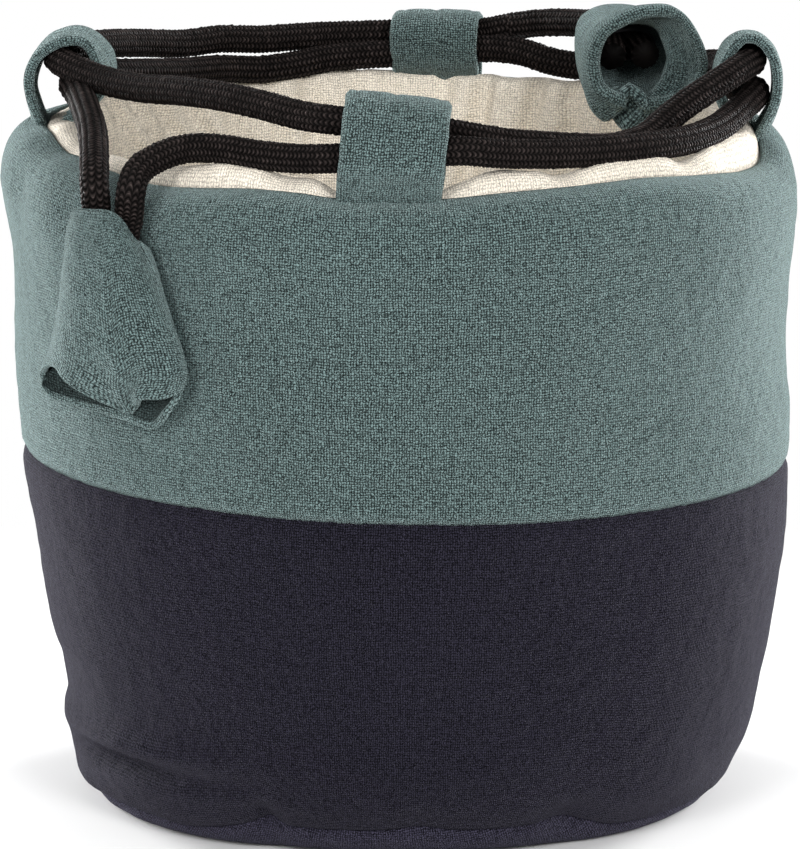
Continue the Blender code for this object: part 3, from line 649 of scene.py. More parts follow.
def woven(name, colour, pitch, aspect, contrast, sheen, crinkle):
    """A plain weave; aspect is how much further apart its rows are than its columns."""
    found = bpy.data.materials.get(name)
    if found:
        return found
    n = Finish(name)
    vector, u, v = n.uv()
    places = []
    for along, noisy, size in (
        (u, vector, pitch / aspect), (v, n.point(v, u, 0.3), pitch * aspect)
    ):
        drift = n.math("MULTIPLY_ADD", n.noise(noisy, 190.0), 1.5, n.noise(noisy, 1500.0, 1.0))
        places.append(n.math("MULTIPLY_ADD", along, 1 / size, drift))
    column, row = (n.math("FLOOR", place) for place in places)
    warp, weft = (
        n.math("SINE", n.math("MULTIPLY", n.math("FRACT", place), math.pi)) for place in places
    )
    over = n.math("FLOORED_MODULO", n.math("ADD", column, row), 2.0)
    under = n.math("SUBTRACT", 1.0, over)
    warp_high = n.math("MULTIPLY", warp, n.math("MULTIPLY_ADD", weft, 0.6, 0.4))
    weft_high = n.math("MULTIPLY", weft, n.math("MULTIPLY_ADD", warp, 0.6, 0.28))
    warp_tone = n.noise(
        n.point(n.math("MULTIPLY", column, 7.3), n.math("MULTIPLY", places[1], 0.2)), 1.0, 1.0
    )
    weft_tone = n.noise(
        n.point(n.math("MULTIPLY", places[0], 0.2), n.math("MULTIPLY", row, 7.3)), 1.0, 1.0
    )
    height, tone = (
        n.math("ADD", n.math("MULTIPLY", a, over), n.math("MULTIPLY", b, under))
        for a, b in ((warp_high, weft_high), (warp_tone, weft_tone))
    )
    fine = n.noise(vector, 3900.0, 1.0, 0.6)
    # Threads are painted lighter where they stand high and darker where they dip under others:
    # partly painted highlight and shade on the weave, besides each thread's own tone and random
    # speckle. The highlights are capped.
    power = n.total(
        n.math("MULTIPLY", n.math("SUBTRACT", height, 0.55), 3.4 * contrast), contrast,
        (tone, 2.2), (fine, 7.5), (n.noise(vector, 1300.0, 2.0, 0.6), 3.2),
        (n.noise(n.place(), 38.0, 3.0), 0.5),
    )
    shade = n.math("POWER", 2.0, n.math("MINIMUM", power, 0.95 * contrast))
    middle = sum(colour) / 3
    glow = [min(1.0, 0.3 + 0.12 * (c / middle - 1) + 2.4 * c) for c in colour]
    creases = n.noise(
        n.point(n.math("MULTIPLY_ADD", v, 0.6, u), n.math("MULTIPLY_ADD", u, -0.6, v)), 380.0, 3.0
    )
    soft = n.bump(n.math("MULTIPLY_ADD", fine, 0.25, creases), 1.0, crinkle)
    deep = pitch * (0.5 if contrast > 0.5 else 0.25)
    return n.surface(
        colour, shade, n.bump(height, 0.9, deep, soft), Roughness=0.95, Specular_IOR_Level=0.04,
        Sheen_Weight=sheen, Sheen_Roughness=0.3, Sheen_Tint=(*glow, 1.0),
    )


def upper_cloth():
    colour, pitch = colours().upper, sizes().upper_pitch
    return woven("upper_cloth_weave", colour, pitch, 1.012, 1.45, 1.0, 0.7 * MM)


def shaded_cloth_inside():
    # The upper cloth made 0.4 times as dark for the hanging cover's inside: painted shade where
    # that inside is shadowed.
    darker = [0.4 * c for c in colours().upper]
    return woven("upper_cloth_painted_shade", darker, sizes().upper_pitch, 1.012, 1.08, 0.25, 0.7 * MM)


def lower_cloth(name="lower_cloth_weave", painted_light=1.0):
    # A factor over 1 makes a lit copy of the same cloth: painted light.
    colour = [painted_light * c for c in colours().lower]
    return woven(name, colour, sizes().lower_pitch, 1.048, 1.15, 0.30, 0.6 * MM)


def linen():
    return woven("lining_linen", colours().linen, sizes().linen_pitch, 1.0, 0.31, 0.1, 0.6 * MM)


def braided():
    """The cords' braid: columns of curved stitches, each column half a stitch on from the last."""
    found = bpy.data.materials.get("cord_braid")
    if found:
        return found
    n = Finish("cord_braid")
    _, u, v = n.uv()
    column, part = n.math("FLOOR", u), n.math("FRACT", u)
    odd = n.math("FLOORED_MODULO", column, 2.0)
    side = n.math("MULTIPLY_ADD", part, 2.0, -1.0)
    bend = n.math("MULTIPLY_ADD", n.math("MULTIPLY", side, side), 0.6, n.math("MULTIPLY", odd, 0.5))
    place = n.math("ADD", bend, v)
    along, across = (
        n.math("SINE", n.math("MULTIPLY", share, math.pi))
        for share in (n.math("FRACT", place), part)
    )
    height = n.math("MULTIPLY", along, n.math("MULTIPLY_ADD", across, 0.5, 0.5))
    own = n.noise(
        n.point(n.math("MULTIPLY", column, 7.3), n.math("MULTIPLY", n.math("FLOOR", place), 5.1)),
        1.0,
    )
    yarn = n.noise(n.point(n.math("MULTIPLY", u, 2.2), n.math("MULTIPLY", place, 9.0)), 1.0)
    # Stitch crowns are painted lighter and the gaps between stitches darker: painted highlight and
    # shade on the braid's relief, besides each stitch's own tone and the yarn's.
    power = n.total(
        n.math("MULTIPLY", n.math("SUBTRACT", height, 0.65), 4.4), 1.0,
        (own, 4.0), (yarn, 6.0), (n.noise(n.place(), 160.0, 3.0), 1.5),
    )
    relieved = n.bump(height, 1.0, sizes().braid_relief, n.bump(yarn, 0.7, 0.16 * MM))
    return n.surface(
        colours().cord, n.math("POWER", 2.0, power), relieved, Roughness=0.65,
        Specular_IOR_Level=0.06,
    )


def cotton_wadding():
    n = Finish("cotton_wadding")
    fluff = n.noise(n.place(), 420.0, 5.0, 0.7)
    clumps = n.noise(n.place(), 60.0, 3.0)
    shade = n.math("MULTIPLY_ADD", fluff, 0.3, n.math("MULTIPLY_ADD", clumps, 0.2, 0.75))
    fluffy = n.bump(fluff, 0.9, 0.6 * MM)
    return n.surface(colours().wadding, shade, fluffy, Roughness=1.0, Sheen_Weight=0.2)


def sewing_thread():
    n = Finish("sewing_thread")
    twist = n.noise(n.place(), 2600.0)
    shade = n.math("MULTIPLY_ADD", twist, 0.9, 0.6)
    return n.surface(colours().thread, shade, n.bump(twist, 0.6, 0.1 * MM), Roughness=0.7)


# The wall. A profile is the line up the outside at one column, from under the foot to the crest.

COLUMNS = 360
DEGREES = np.linspace(90, -270, COLUMNS, endpoint=False)[::-1] + 1.0
AROUND = np.radians(DEGREES)
PROFILE_STEPS = 24  # points from one knot of a profile to the next
FOOT_POINTS = 60  # points at a profile's start that turn in under the foot
RIM_POINTS = 30  # points at its end that the rim's seam takes up


def side_share(sign):
    return np.clip(sign * np.cos(AROUND), 0, None) ** 3


def seam_height():
    """Height of the seam between the bands, which is a little tilted."""
    return (58.9 - 1.35 * np.cos(AROUND) - 1.0 * np.sin(AROUND)) * MM


def crest_height():
    return through(CREST_HEIGHTS, DEGREES, 360) * MM


def crest_out():
    """How much further out the crest is beside the right loop, in metres."""
    return 1.2 * MM * np.exp(-(((DEGREES + 8 + 180) % 360 - 180) / 9.0) ** 2)


def wall_profiles():
    """Radius and height up the outside, for each column: arrays of points by columns."""
    crest = crest_height() / MM
    foot = through(WALL_FOOT, DEGREES, 360)
    knots = [foot[:, ::-1] + turned for turned in FOOT_TURN]
    for height, radius, left, right in OUTER_WALL:
        out = radius + left * side_share(-1) + right * side_share(1)
        low = np.clip((21.3 - height) / 19.1, 0, 1)
        knots.append(np.stack([out, height + low * (foot[:, 0] - 2.2)], 1))
    for out, below in RIM_ROLL:
        left = 0.7 * side_share(-1) * min(out, 4) / 4
        near = crest_out() / MM * (1 - min(out, 5) / 6)
        knots.append(np.stack([60.0 + out + left + near, crest - below], 1))
    flat = np.array(knots).reshape(len(knots), -1) * MM
    return spline(flat, PROFILE_STEPS).reshape(-1, COLUMNS, 2)


def dented(radius, height):
    """The wall's own dents and bumps, in metres in or out."""
    degrees = np.broadcast_to(DEGREES, radius.shape)
    out = np.zeros(radius.shape)
    for place, level, wide, tall, slope, deep in WALL_DENTS:
        off = (degrees - place + 180) % 360 - 180
        rise = height / MM - level - slope * off
        out += deep * MM * np.exp(-(off / wide) ** 2 - (rise / tall) ** 2)
    return out


def on_wall(radius, height, inset=0.0):
    reach = radius - inset
    return np.stack([reach * np.cos(AROUND), reach * np.sin(AROUND), height], -1)


def wall_rows(count, seam_side):
    """Even rows of the outer wall: from the foot to the seam (-1) or from it to the crest (1)."""
    profiles, seam = wall_profiles(), seam_height()
    rows = np.zeros((count, COLUMNS, 2))
    for c in range(COLUMNS):
        line = profiles[:, c]
        run = run_along(line)
        meets = np.interp(seam[c], line[FOOT_POINTS:, 1], run[FOOT_POINTS:])
        ends = (0.0, meets + 0.45 * MM) if seam_side < 0 else (meets + 0.05 * MM, run[-1])
        at = np.linspace(*ends, count)
        for k in (0, 1):
            rows[:, c, k] = np.interp(at, run, line[:, k])
    radius, height = rows[..., 0], rows[..., 1]
    away = np.abs(height - seam[None, :]) / MM
    pucker = 0.5 + 0.5 * relief(on_wall(radius, height) * np.array([1, 1, 0.15]), 3.2 * MM, 4.0)
    dip = 0.95 * np.exp(-(away / 0.9) ** 1.5) + 0.28 * pucker * np.exp(-away / 3.0)
    radius = radius - dip * MM
    if seam_side < 0:
        radius = radius - 0.8 * MM * np.clip((height - seam[None, :]) / MM * 2.2 + 0.3, 0, 1)
    else:
        edge = on_wall(radius[:1], height[:1])[0]
        height = height - 0.22 * MM * np.exp(-away / 1.5) * (0.6 + relief(edge, 0.9 * MM, 9.0))
    points = on_wall(radius, height)
    top = np.clip((crest_height()[None, :] - height) / (6 * MM), 0.12, 1)
    radius = radius + top * (
        0.45 * MM * relief(points, 24 * MM, 1.7) + dented(radius, height)
        + sizes().crinkle * relief(points, 3.4 * MM, 2.3)
        + 0.8 * sizes().crinkle * relief(points * np.array([1, 1, 0.7]), 7.5 * MM, 5.1)
    )
    return on_wall(radius, height)


def wall_uv(grid):
    return cloth_uv(grid, np.arange(COLUMNS + 1) / COLUMNS * 2 * math.pi * 65.0 * MM)


def lining_rows(rows):
    """The lining's face from the crest over its puff and down to the base seam."""
    crest = crest_height()
    puff = through(LINING_PUFFS, DEGREES, 360) * MM
    knots = [
        np.stack([radius * MM + crest_out(), crest + rise * MM + puff * share], 1)
        for radius, rise, share in LINING_TOP
    ]
    for height, radius in LINING_WALL:
        knots.append(np.stack([np.full(COLUMNS, radius * MM), np.full(COLUMNS, height * MM)], 1))
    dense = spline(np.array(knots).reshape(len(knots), -1), 16).reshape(-1, COLUMNS, 2)
    run = np.linalg.norm(np.diff(dense, axis=0), axis=2).mean(1)
    run = np.concatenate([[0], np.cumsum(run)])
    at = np.linspace(0, 1, rows) ** 1.15 * run[-1]
    radius, height = (
        np.stack([np.interp(at, run, dense[:, c, k]) for c in range(COLUMNS)], 1) for k in (0, 1)
    )
    down = np.clip((crest[None, :] - height) / (70 * MM), 0, 1)
    edge = np.clip((at[:, None]) / (5 * MM), 0, 1)
    floor = np.clip((height - 9.5 * MM) / (14 * MM), 0, 1)
    points = on_wall(radius, height)
    folds = relief(points * np.array([1, 1, 0.16]), 8.5 * MM, 3.0)
    small = relief(points * np.array([1, 1, 0.45]), 3.6 * MM, 7.0)
    creased = np.zeros(radius.shape)
    for high, low, deep, wide in LINING_FOLDS:
        share = (crest[None, :] - height) / (20 * MM)
        off = (DEGREES[None, :] - high - (low - high) * share + 180) % 360 - 180
        off = np.radians(off) * radius / MM / wide
        creased += deep * (np.exp(-(off**2)) - 0.6 * np.exp(-((np.abs(off) - 2.2) ** 2))) * (
            np.clip(1.2 - 0.5 * share, 0.15, 1)
        )
    radius = radius + edge * floor * MM * (
        (1.7 * (1 - 0.6 * down)) * folds + 0.55 * small - 0.35 * (1 - down) + creased
    )
    height = height + edge * (1 - np.clip(down * 12, 0, 1)) * 0.55 * MM * small
    return on_wall(radius, height)


def base_panel():
    columns = COLUMNS // 2
    degrees = DEGREES[::2]
    turn = np.radians(degrees)
    flat = through(BASE_FLAT, degrees, 360)
    foot = through(WALL_FOOT, degrees, 360)
    wide = foot[:, 1] - 0.5 - flat
    rows = [(flat * share, 0.05 + 0 * flat) for share in (0.1, 0.3, 0.5, 0.7, 0.85, 0.95)]
    rows += [(flat + out * wide, up * foot[:, 0] + 0.05) for out, up in BASE_EDGE]
    knots = np.array(rows).transpose(0, 2, 1)
    profile = spline(knots.reshape(len(knots), -1), 6).reshape(-1, columns, 2) * MM
    radius, height = profile[..., 0], profile[..., 1]
    points = np.stack([radius * np.cos(turn), radius * np.sin(turn), height], -1)
    share = np.clip((radius - 43 * MM) / (6 * MM), 0, 1)[..., None]
    lumps = relief(points * np.array([1, 1, 0.3]), 5.5 * MM, 8.0)[..., None]
    points = points + share * 0.4 * MM * lumps * np.stack(
        [np.cos(turn), np.sin(turn), np.full(columns, 0.25)], 1
    )
    points[..., 2] = np.maximum(points[..., 2], 0.0)
    grid = points[::-1]
    run = np.linalg.norm(np.diff(grid, axis=0), axis=2)
    run = np.vstack([np.cumsum(run[::-1], axis=0)[::-1], np.zeros((1, columns))]) + 5 * MM
    around = np.append(np.arange(columns), 0)
    uv = [
        [(reach[k] * math.cos(turn[k]), reach[k] * math.sin(turn[k])) for k in around]
        for reach in run
    ]
    uv.append(uv[-1])
    piece = grid_piece("base_panel", grid[:, ::-1], [row[::-1] for row in uv])
    close_middle(piece, columns)
    # The base panel's cloth is the lower cloth made 2.2 times lighter: painted light on the base,
    # which lies in the bag's shadow.
    sewn(
        piece, lower_cloth("base_cloth_painted_light", 2.2), "outer_base_panel", "lower_cloth",
        (0.112, 0.112), "laid", ["base_wadding"], 1.0 * MM, area=0.0098,
    )


def close_middle(piece, columns):
    """Fills the small round hole that the last row of a disc leaves."""
    chosen(piece)
    first = len(piece.data.vertices) - columns
    for part in (piece.data.polygons, piece.data.edges, piece.data.vertices):
        part.foreach_set("select", [False] * len(part))
    for edge in piece.data.edges:
        edge.select = min(edge.vertices) >= first
    bpy.ops.object.mode_set(mode="EDIT")
    bpy.ops.mesh.select_mode(type="EDGE")
    bpy.ops.mesh.fill_grid()
    bpy.ops.object.mode_set(mode="OBJECT")


def rings(outline, columns):
    """Round rows of points from (radius, height) pairs."""
    turn = np.linspace(0, 2 * math.pi, columns, endpoint=False)
    return np.array([
        np.stack([radius * np.cos(turn), radius * np.sin(turn), np.full(columns, height)], 1)
        for radius, height in outline
    ])


class POUCH_OT_outer_cloth(bpy.types.Operator):
    """Makes the two bands of outer cloth and the base panel"""

    bl_idname = "pouch.outer_cloth"
    bl_label = "Outer cloth"

    def execute(self, context):
        for side, sign, rows, cloth, flat in (
            ("upper", 1, 78, upper_cloth, (0.418, 0.068)),
            ("lower", -1, 84, lower_cloth, (0.400, 0.062)),
        ):
            grid = wall_rows(rows, sign)
            sewn(
                grid_piece(f"{side}_band", grid, wall_uv(grid)), cloth(), f"outer_{side}_band",
                f"{side}_cloth", flat, "stretched", ["wall_wadding"], sizes().cloth,
            )
        base_panel()
        return {"FINISHED"}


class POUCH_OT_lining(bpy.types.Operator):
    """Makes the linen lining of the wall and of the base"""

    bl_idname = "pouch.lining"
    bl_label = "Lining"

    def execute(self, context):
        grid = lining_rows(110)
        sewn(
            grid_piece("wall_lining", grid, wall_uv(grid)), linen(), "lining_wall", "lining_cloth",
            (0.375, 0.116), "stretched", ["wall_wadding"], sizes().lining,
        )
        shares = np.linspace(1, 0.02, 40)
        grid = rings(
            [(46.6 * MM * share, (9.5 + 0.7 * (1 - share**4)) * MM) for share in shares], 120
        )
        lumps = 0.35 * MM * relief(grid, 11 * MM, 6.0)
        grid[..., 2] += lumps * np.minimum(1, (1 - shares) * 12)[:, None]
        uv = [[(p[0], p[1]) for p in np.vstack([row, row[:1]])] for row in grid]
        piece = grid_piece("base_lining", grid, uv)
        close_middle(piece, 120)
        sewn(
            piece, linen(), "lining_base", "lining_cloth", (0.096, 0.096), "laid",
            ["base_wadding"], sizes().lining, area=0.0072,
        )
        return {"FINISHED"}


class POUCH_OT_wadding(bpy.types.Operator):
    """Makes the wadding inside the wall and the base"""

    bl_idname = "pouch.wadding"
    bl_label = "Wadding"

    def execute(self, context):
        profiles = wall_profiles()[FOOT_POINTS:-RIM_POINTS:8]
        dents = np.minimum(dented(profiles[..., 0], profiles[..., 1]), 0)
        outer = on_wall(profiles[..., 0] + dents, profiles[..., 1], sizes().cloth + 1.2 * MM)
        inner = lining_rows(46)[6:-2]
        inner = inner * (1 + (sizes().lining + 1.6 * MM) / 54 / MM * np.array([1, 1, 0]))
        top = (outer[-1] + inner[0]) / 2
        top[:, 2] = np.minimum(outer[-1][:, 2], inner[0][:, 2]) + 0.2 * MM
        wall = np.concatenate([outer, top[None], inner])[:, ::3]
        base = rings(BASE_WADDING, 96) * MM
        base = spline(base.reshape(len(base), -1), 4).reshape(-1, 96, 3)
        fluff = cotton_wadding()
        for part, grid, fill, closed in (
            ("wall", wall, 0.6, {"closed_rows": True}), ("base", base, 0.7, {"caps": True})
        ):
            uv = [[(0.0, 0.0)] * (grid.shape[1] + 1)] * (len(grid) + 1)
            piece = grid_piece(f"{part}_wadding", grid, uv, **closed)
            finished(piece, fluff, "bag")
            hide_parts(f"{part}_padding")
        return {"FINISHED"}


class POUCH_OT_loops(bpy.types.Operator):
    """Makes the four loops that hold the drawcords at the rim"""

    bl_idname = "pouch.loops"
    bl_label = "Cord loops"

    def execute(self, context):
        for name, angle, turn, lean, wide, shift, narrow in LOOPS:
            sewn(
                strap(name, angle, turn, lean, wide * MM, shift * MM, narrow), upper_cloth(),
                f"loop_{name}", "upper_cloth", (sizes().strap_width, STRAP_LENGTH), "folded",
                ["hanging_drawcord", "lying_drawcord"],
            )
        return {"FINISHED"}


def level(degrees):
    """The level direction at an angle round the bag."""
    return np.array([math.cos(math.radians(degrees)), math.sin(math.radians(degrees)), 0])


def strap(name, angle, turn, lean, wide, shift, narrow):
    """A strap of folded cloth round a loop's outlines, with soft edges."""
    steps = 100
    edges = [evenly(spline(line, 12), steps) * MM for line in LOOP_OUTLINES[name]]
    outwards, sideways = level(angle), level(angle + 90 + turn)
    if sideways[0] < -0.7 or sideways[1] < -0.7:
        sideways = -sideways
    half, thick = wide / 2, sizes().strap / 2
    across = np.concatenate([np.linspace(-1, 1, 31), np.linspace(1, -1, 31)])
    face = np.concatenate([np.ones(31), -np.ones(31)])
    share = ((across + 1) / 2)[None, :, None]
    middle = edges[0][:, None, :] * (1 - share) + edges[1][:, None, :] * share
    ahead = np.gradient(middle, axis=0)
    ahead /= np.linalg.norm(ahead, axis=2)[..., None]
    normal = np.stack([ahead[..., 1], -ahead[..., 0]], -1)
    near = np.clip((1 - np.abs(across)) * half / thick, 0, 1)
    bulge = thick * (0.2 + 0.8 * np.sqrt(1 - (1 - near) ** 2))
    crease = np.exp(-((across + 0.06) * half / (0.6 * MM)) ** 2)
    seam = np.exp(-((np.abs(across) - 0.8) * half / (0.5 * MM)) ** 2)
    bulge = bulge - thick * (0.3 * crease + 0.16 * seam)
    foot = np.clip(1 - np.abs(np.arange(steps) - 4.0) / 16.0, 0, 1)[:, None]
    foot = foot + np.clip(1 - np.abs(np.arange(steps) - steps + 5.0) / 14.0, 0, 1)[:, None]
    pleats = (0.12 if narrow == 1.0 else 0.5) * MM * foot * np.sin(across * 9.0 + 1.0)[None, :]
    off = face * bulge + pleats - 0.25 * MM * np.abs(across) ** 3
    place = middle + normal * off[..., None]
    high = np.clip(place[..., 1] / (15 * MM), 0, 1.2)
    low = np.clip(1 - (place[..., 1] + 1 * MM) / (8 * MM), 0, 1) ** 1.5
    wide_here = (across * half)[None, :] * (1 - low * (1 - narrow)) + shift * low
    grid = (
        outwards * (CREST_RADIUS + place[..., :1])
        + sideways * (wide_here + lean * MM * high)[..., None]
    )
    grid[..., 2] = 113.2 * MM + place[..., 1]
    grid += 0.16 * MM * relief_vectors(grid, 3.6 * MM, (1.0, 2.0, 3.0))
    reach = run_along(np.vstack([grid[steps // 2], grid[steps // 2][:1]]))
    run = np.arange(steps + 1) / steps * STRAP_LENGTH
    uv = [[(0.5 + a, r) for a in (0.0, *reach[1:])] for r in run]
    return grid_piece(f"{name}_loop", grid, uv, caps=True)


# Drawcords

def cord_piece(name, route):
    """A braided cord along a route in metres. Gives the piece, its middle line and its length."""
    dense = spline(route, 40)
    length = np.linalg.norm(np.diff(dense, axis=0), axis=1).sum()
    count = int(length / (sizes().stitch / 3))
    line = evenly(dense, count)
    ahead = np.gradient(line, axis=0)
    ahead /= np.linalg.norm(ahead, axis=1)[:, None]
    side = np.cross(ahead[0], [0, 0, 1.0])
    sides = []
    for way in ahead:
        side = side - way * side.dot(way)
        side = side / np.linalg.norm(side)
        sides.append(side)
    sides = np.array(sides)
    other = np.cross(ahead, sides)
    columns = sizes().braid_columns
    turn = np.arange(columns * 5 + 1) / 5.0
    along = np.arange(count) * length / (count - 1) / sizes().stitch
    part, odd = turn[:-1] % 1.0, np.floor(turn[:-1]) % 2
    bend = 0.6 * (2 * part - 1) ** 2 + 0.5 * odd
    stitch = (along[:, None] + bend[None, :]) % 1.0
    high = np.sin(stitch * math.pi) ** 0.8 * (0.5 + 0.5 * np.sin(part * math.pi))[None, :]
    yarns = np.zeros((count, len(part), 3))
    yarns[..., 0] = along[:, None] * MM
    yarns[..., 1] = turn[None, :-1] * 1.3 * MM
    loose = relief(yarns, 1.1 * MM, 2.0)
    radius = sizes().cord / 2 + sizes().braid_relief * (high - 0.55 + 0.45 * loose)
    angle = turn[:-1] / columns * 2 * math.pi
    grid = line[:, None, :] + radius[..., None] * (
        sides[:, None, :] * np.cos(angle)[None, :, None]
        + other[:, None, :] * np.sin(angle)[None, :, None]
    )
    piece = grid_piece(name, grid, [[(t, a) for t in turn] for a in along], caps=True)
    finished(piece, braided())
    return piece, line, length


def laid(piece, line, length, leaves, *nodes):
    """Hides the parts of the model that a drawcord's piece takes the place of."""
    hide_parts(*nodes)


def hanging_end(side):
    """Points of a cord's end inside the hanging cover, from just over its neck."""
    outwards = hanging_out()
    return [
        HANGING_NECK + HANGING_WAY * (depth * MM) + HANGING_ACROSS * (across * MM)
        + outwards * (out * MM)
        for depth, across, out in HANGING_ENDS[side]
    ]


def hanging_out():
    """The way out of the hanging cover's front."""
    out = -HANGING_WAY.cross(HANGING_ACROSS)
    return out if out.y < 0 else -out


def lying_frame():
    """The lying cover's directions: down it, across it and down through it."""
    way = (LYING_MOUTH - LYING_NECK).normalized()
    across = Vector((way.y, -way.x, 0)).normalized()
    return way, across, way.cross(across)


def lying_end(side):
    """Points of a cord's end inside the lying cover, on its one side or its other."""
    way, across, _ = lying_frame()
    return [
        LYING_NECK + way * (depth * MM) + across * ((side * apart + shift) * MM)
        for depth, apart, shift in LYING_ENDS
    ]


def metres(points):
    return [Vector(p) * MM for p in points]


class POUCH_OT_hanging_cord(bpy.types.Operator):
    """Makes the drawcord whose ends hang at the front left"""

    bl_idname = "pouch.hanging_cord"
    bl_label = "Hanging drawcord"

    def execute(self, context):
        route = metres(HANGING_FRONT_TAIL + HANGING_RING + HANGING_BACK_TAIL)
        route = hanging_end("right")[::-1] + route + hanging_end("left")
        piece, line, length = cord_piece("hanging_drawcord", route)
        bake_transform(piece)
        laid(
            piece, line, length, HANGING_NECK, "drawcord_hanging_ring",
            "drawcord_hanging_front_tail", "drawcord_hanging_back_tail", "cord_ends_hanging",
        )
        return {"FINISHED"}


class POUCH_OT_lying_cord(bpy.types.Operator):
    """Makes the drawcord whose ends lie at the back right"""

    bl_idname = "pouch.lying_cord"
    bl_label = "Lying drawcord"

    def execute(self, context):
        piece, line, length = cord_piece("lying_drawcord", metres(LYING_RING))
        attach(piece, "bag")
        laid(piece, line, length, line[0], "drawcord_lying_ring")
        into_cover = lying_frame()[0]
        from_bight = Vector((-0.75, -0.66, 0.0))
        for name, route, side, way, nodes in (
            (
                "back", LYING_BACK_TAIL, 1, into_cover,
                ["drawcord_lying_back_tail", "cord_ends_lying"],
            ),
            ("side", LYING_SIDE_TAIL, -1, from_bight, ["drawcord_lying_side_tail"]),
        ):
            end, line, length = cord_piece(f"lying_{name}_end", metres(route) + lying_end(side))
            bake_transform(end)
            laid(end, line, length, line[0], *nodes)
        return {"FINISHED"}


# Cord covers

def cover_shell(name, outline, depth, origin, way, across, up, wall):
    """A cloth cone from its outer outline: rows by columns of (across, up) and of depth."""
    rows, columns = depth.shape
    ahead = np.roll(outline, -1, 1) - np.roll(outline, 1, 1)
    inwards = np.stack([-ahead[..., 1], ahead[..., 0]], -1)
    inwards /= np.linalg.norm(inwards, axis=2)[..., None]
    centre = outline.mean(1)[:, None, :]
    flip = np.sign(((centre - outline) * inwards).sum(2).mean(1))
    inwards = inwards * flip[:, None, None]
    thick = np.broadcast_to(np.asarray(wall, float), (rows, columns))
    lip = thick[-1]
    shell = [(outline[r], depth[r]) for r in range(rows)]
    for turn in np.radians([30, 60, 90, 120, 150]):
        share = (1 - math.cos(turn)) / 2
        reach = lip / 2 * math.sin(turn)
        shell.append((outline[-1] + inwards[-1] * (lip * share)[:, None], depth[-1] + reach))
    for r in range(rows - 1, 1, -1):
        shell.append((outline[r] + inwards[r] * thick[r][:, None], depth[r]))
    origin, way, across, up = (np.array(v) for v in (origin, way, across, up))
    grid = np.array([
        origin + d[:, None] * way + o[:, :1] * across + o[:, 1:] * up for o, d in shell
    ])
    grid = grid + 0.14 * MM * relief_vectors(grid, 4.2 * MM, (4.0, 5.0, 6.0))
    around = np.linalg.norm(np.diff(outline, axis=1), axis=2).mean(0)
    around = np.concatenate([[0], np.cumsum(around), [around.sum() + around.mean()]])
    return grid_piece(name, grid, cloth_uv(grid, around), closed_rows=True)


def hanging_shell():
    columns, rows = 96, 46
    degrees = np.linspace(0, 360, columns, endpoint=False)
    turn = np.radians(degrees)
    lip = through(HANGING_LIP, degrees, 360)
    top = through(HANGING_TOP, degrees, 360)
    share = np.linspace(0, 1, rows)[:, None]
    depth = top[None, :] + share * (lip - top)[None, :]
    left, right, thick = np.moveaxis(through(HANGING_EDGES, depth), -1, 0)
    flat = np.sign(np.cos(turn)) * np.abs(np.cos(turn)) ** 0.88
    across = (left + right) / 2 + (right - left) / 2 * flat[None, :]
    boxy = np.where(np.sin(turn) > 0, 0.5 + 0.65 * np.clip(1.8 * share, 0, 1), 1.15)
    out = thick * np.sign(np.sin(turn)) * np.abs(np.sin(turn)) ** boxy
    pinch = np.exp(-((degrees - 72) / 13.0) ** 2)[None, :]
    pinch = pinch * np.clip((share - 0.72) / 0.28, 0, 1) ** 1.5
    out = out - pinch * (thick + 1.2) * 1.05
    out = out - 0.012 * across**2
    tuck = np.exp(-((degrees - 314) / 12.0) ** 2)[None, :] * np.clip((share - 0.6) / 0.4, 0, 1)
    out = out - tuck * 0.8
    return cover_shell(
        "hanging_cord_cover", np.stack([across, out], -1) * MM, depth * MM, HANGING_NECK,
        HANGING_WAY, HANGING_ACROSS, hanging_out(), (1.3 + 0.2 * share**4) * MM,
    )


def lying_shell():
    columns = 96
    way, across, down = lying_frame()
    knots = []
    for share, ring in LYING_RINGS:
        line = spline(ring, 12, closed=True)
        knots.append((share, *evenly(np.vstack([line, line[:1]]), columns + 1)[:-1].ravel()))
    at = np.concatenate([np.linspace(0, 0.8, 30), np.linspace(0.82, 1.0, 18)])
    outline = through(knots, at).reshape(len(at), columns, 2)
    at = at[:, None]
    low = np.clip(-np.sin(np.linspace(0, 2 * math.pi, columns, endpoint=False)), 0, 1)
    depth = at * (LYING_MOUTH - LYING_NECK).length + (at**6) * 1.2 * MM * low[None, :]
    side, below = outline[-1].T
    fold = (np.exp(-((side - 3.0) / 0.95) ** 2) * (below > 0))[None, :]
    near = np.clip((at - 0.45) / 0.35, 0, 1) * np.clip((1.07 - at) / 0.14, 0, 1)
    outline[..., 1] -= 2.6 * fold * near
    depth = depth - 4.0 * MM * fold * np.clip((at - 0.84) / 0.1, 0, 1)
    places = np.arange(columns) * 8 / columns
    walls = [(share, *through(list(enumerate(wall)), places, 8)) for share, wall in LYING_WALL]
    return cover_shell(
        "lying_cord_cover", outline * MM, depth, LYING_NECK, way, across, down,
        through(walls, at[:, 0]) * MM,
    )


class POUCH_OT_covers(bpy.types.Operator):
    """Makes the two cloth covers on the cord ends"""

    bl_idname = "pouch.covers"
    bl_label = "Cord covers"

    def execute(self, context):
        for which, shell in (("hanging", hanging_shell), ("lying", lying_shell)):
            piece = shell()
            sewn(
                piece, upper_cloth(), f"cord_cover_{which}", "upper_cloth", (0.066, 0.033),
                "gathered", [f"{which}_drawcord"], body=f"{which}_cover", area=0.0018,
            )
            if which == "hanging":
                # The inside faces take the darker copy of the cloth: painted shade in the cover's
                # shadowed inside.
                piece.data.materials.append(shaded_cloth_inside())
                # Of the 95 rows of faces, the first 52 are the outside and the lip
                inside = len(piece.data.polygons) * 52 // 95
                for face in list(piece.data.polygons)[inside:]:
                    face.material_index = 1
        return {"FINISHED"}


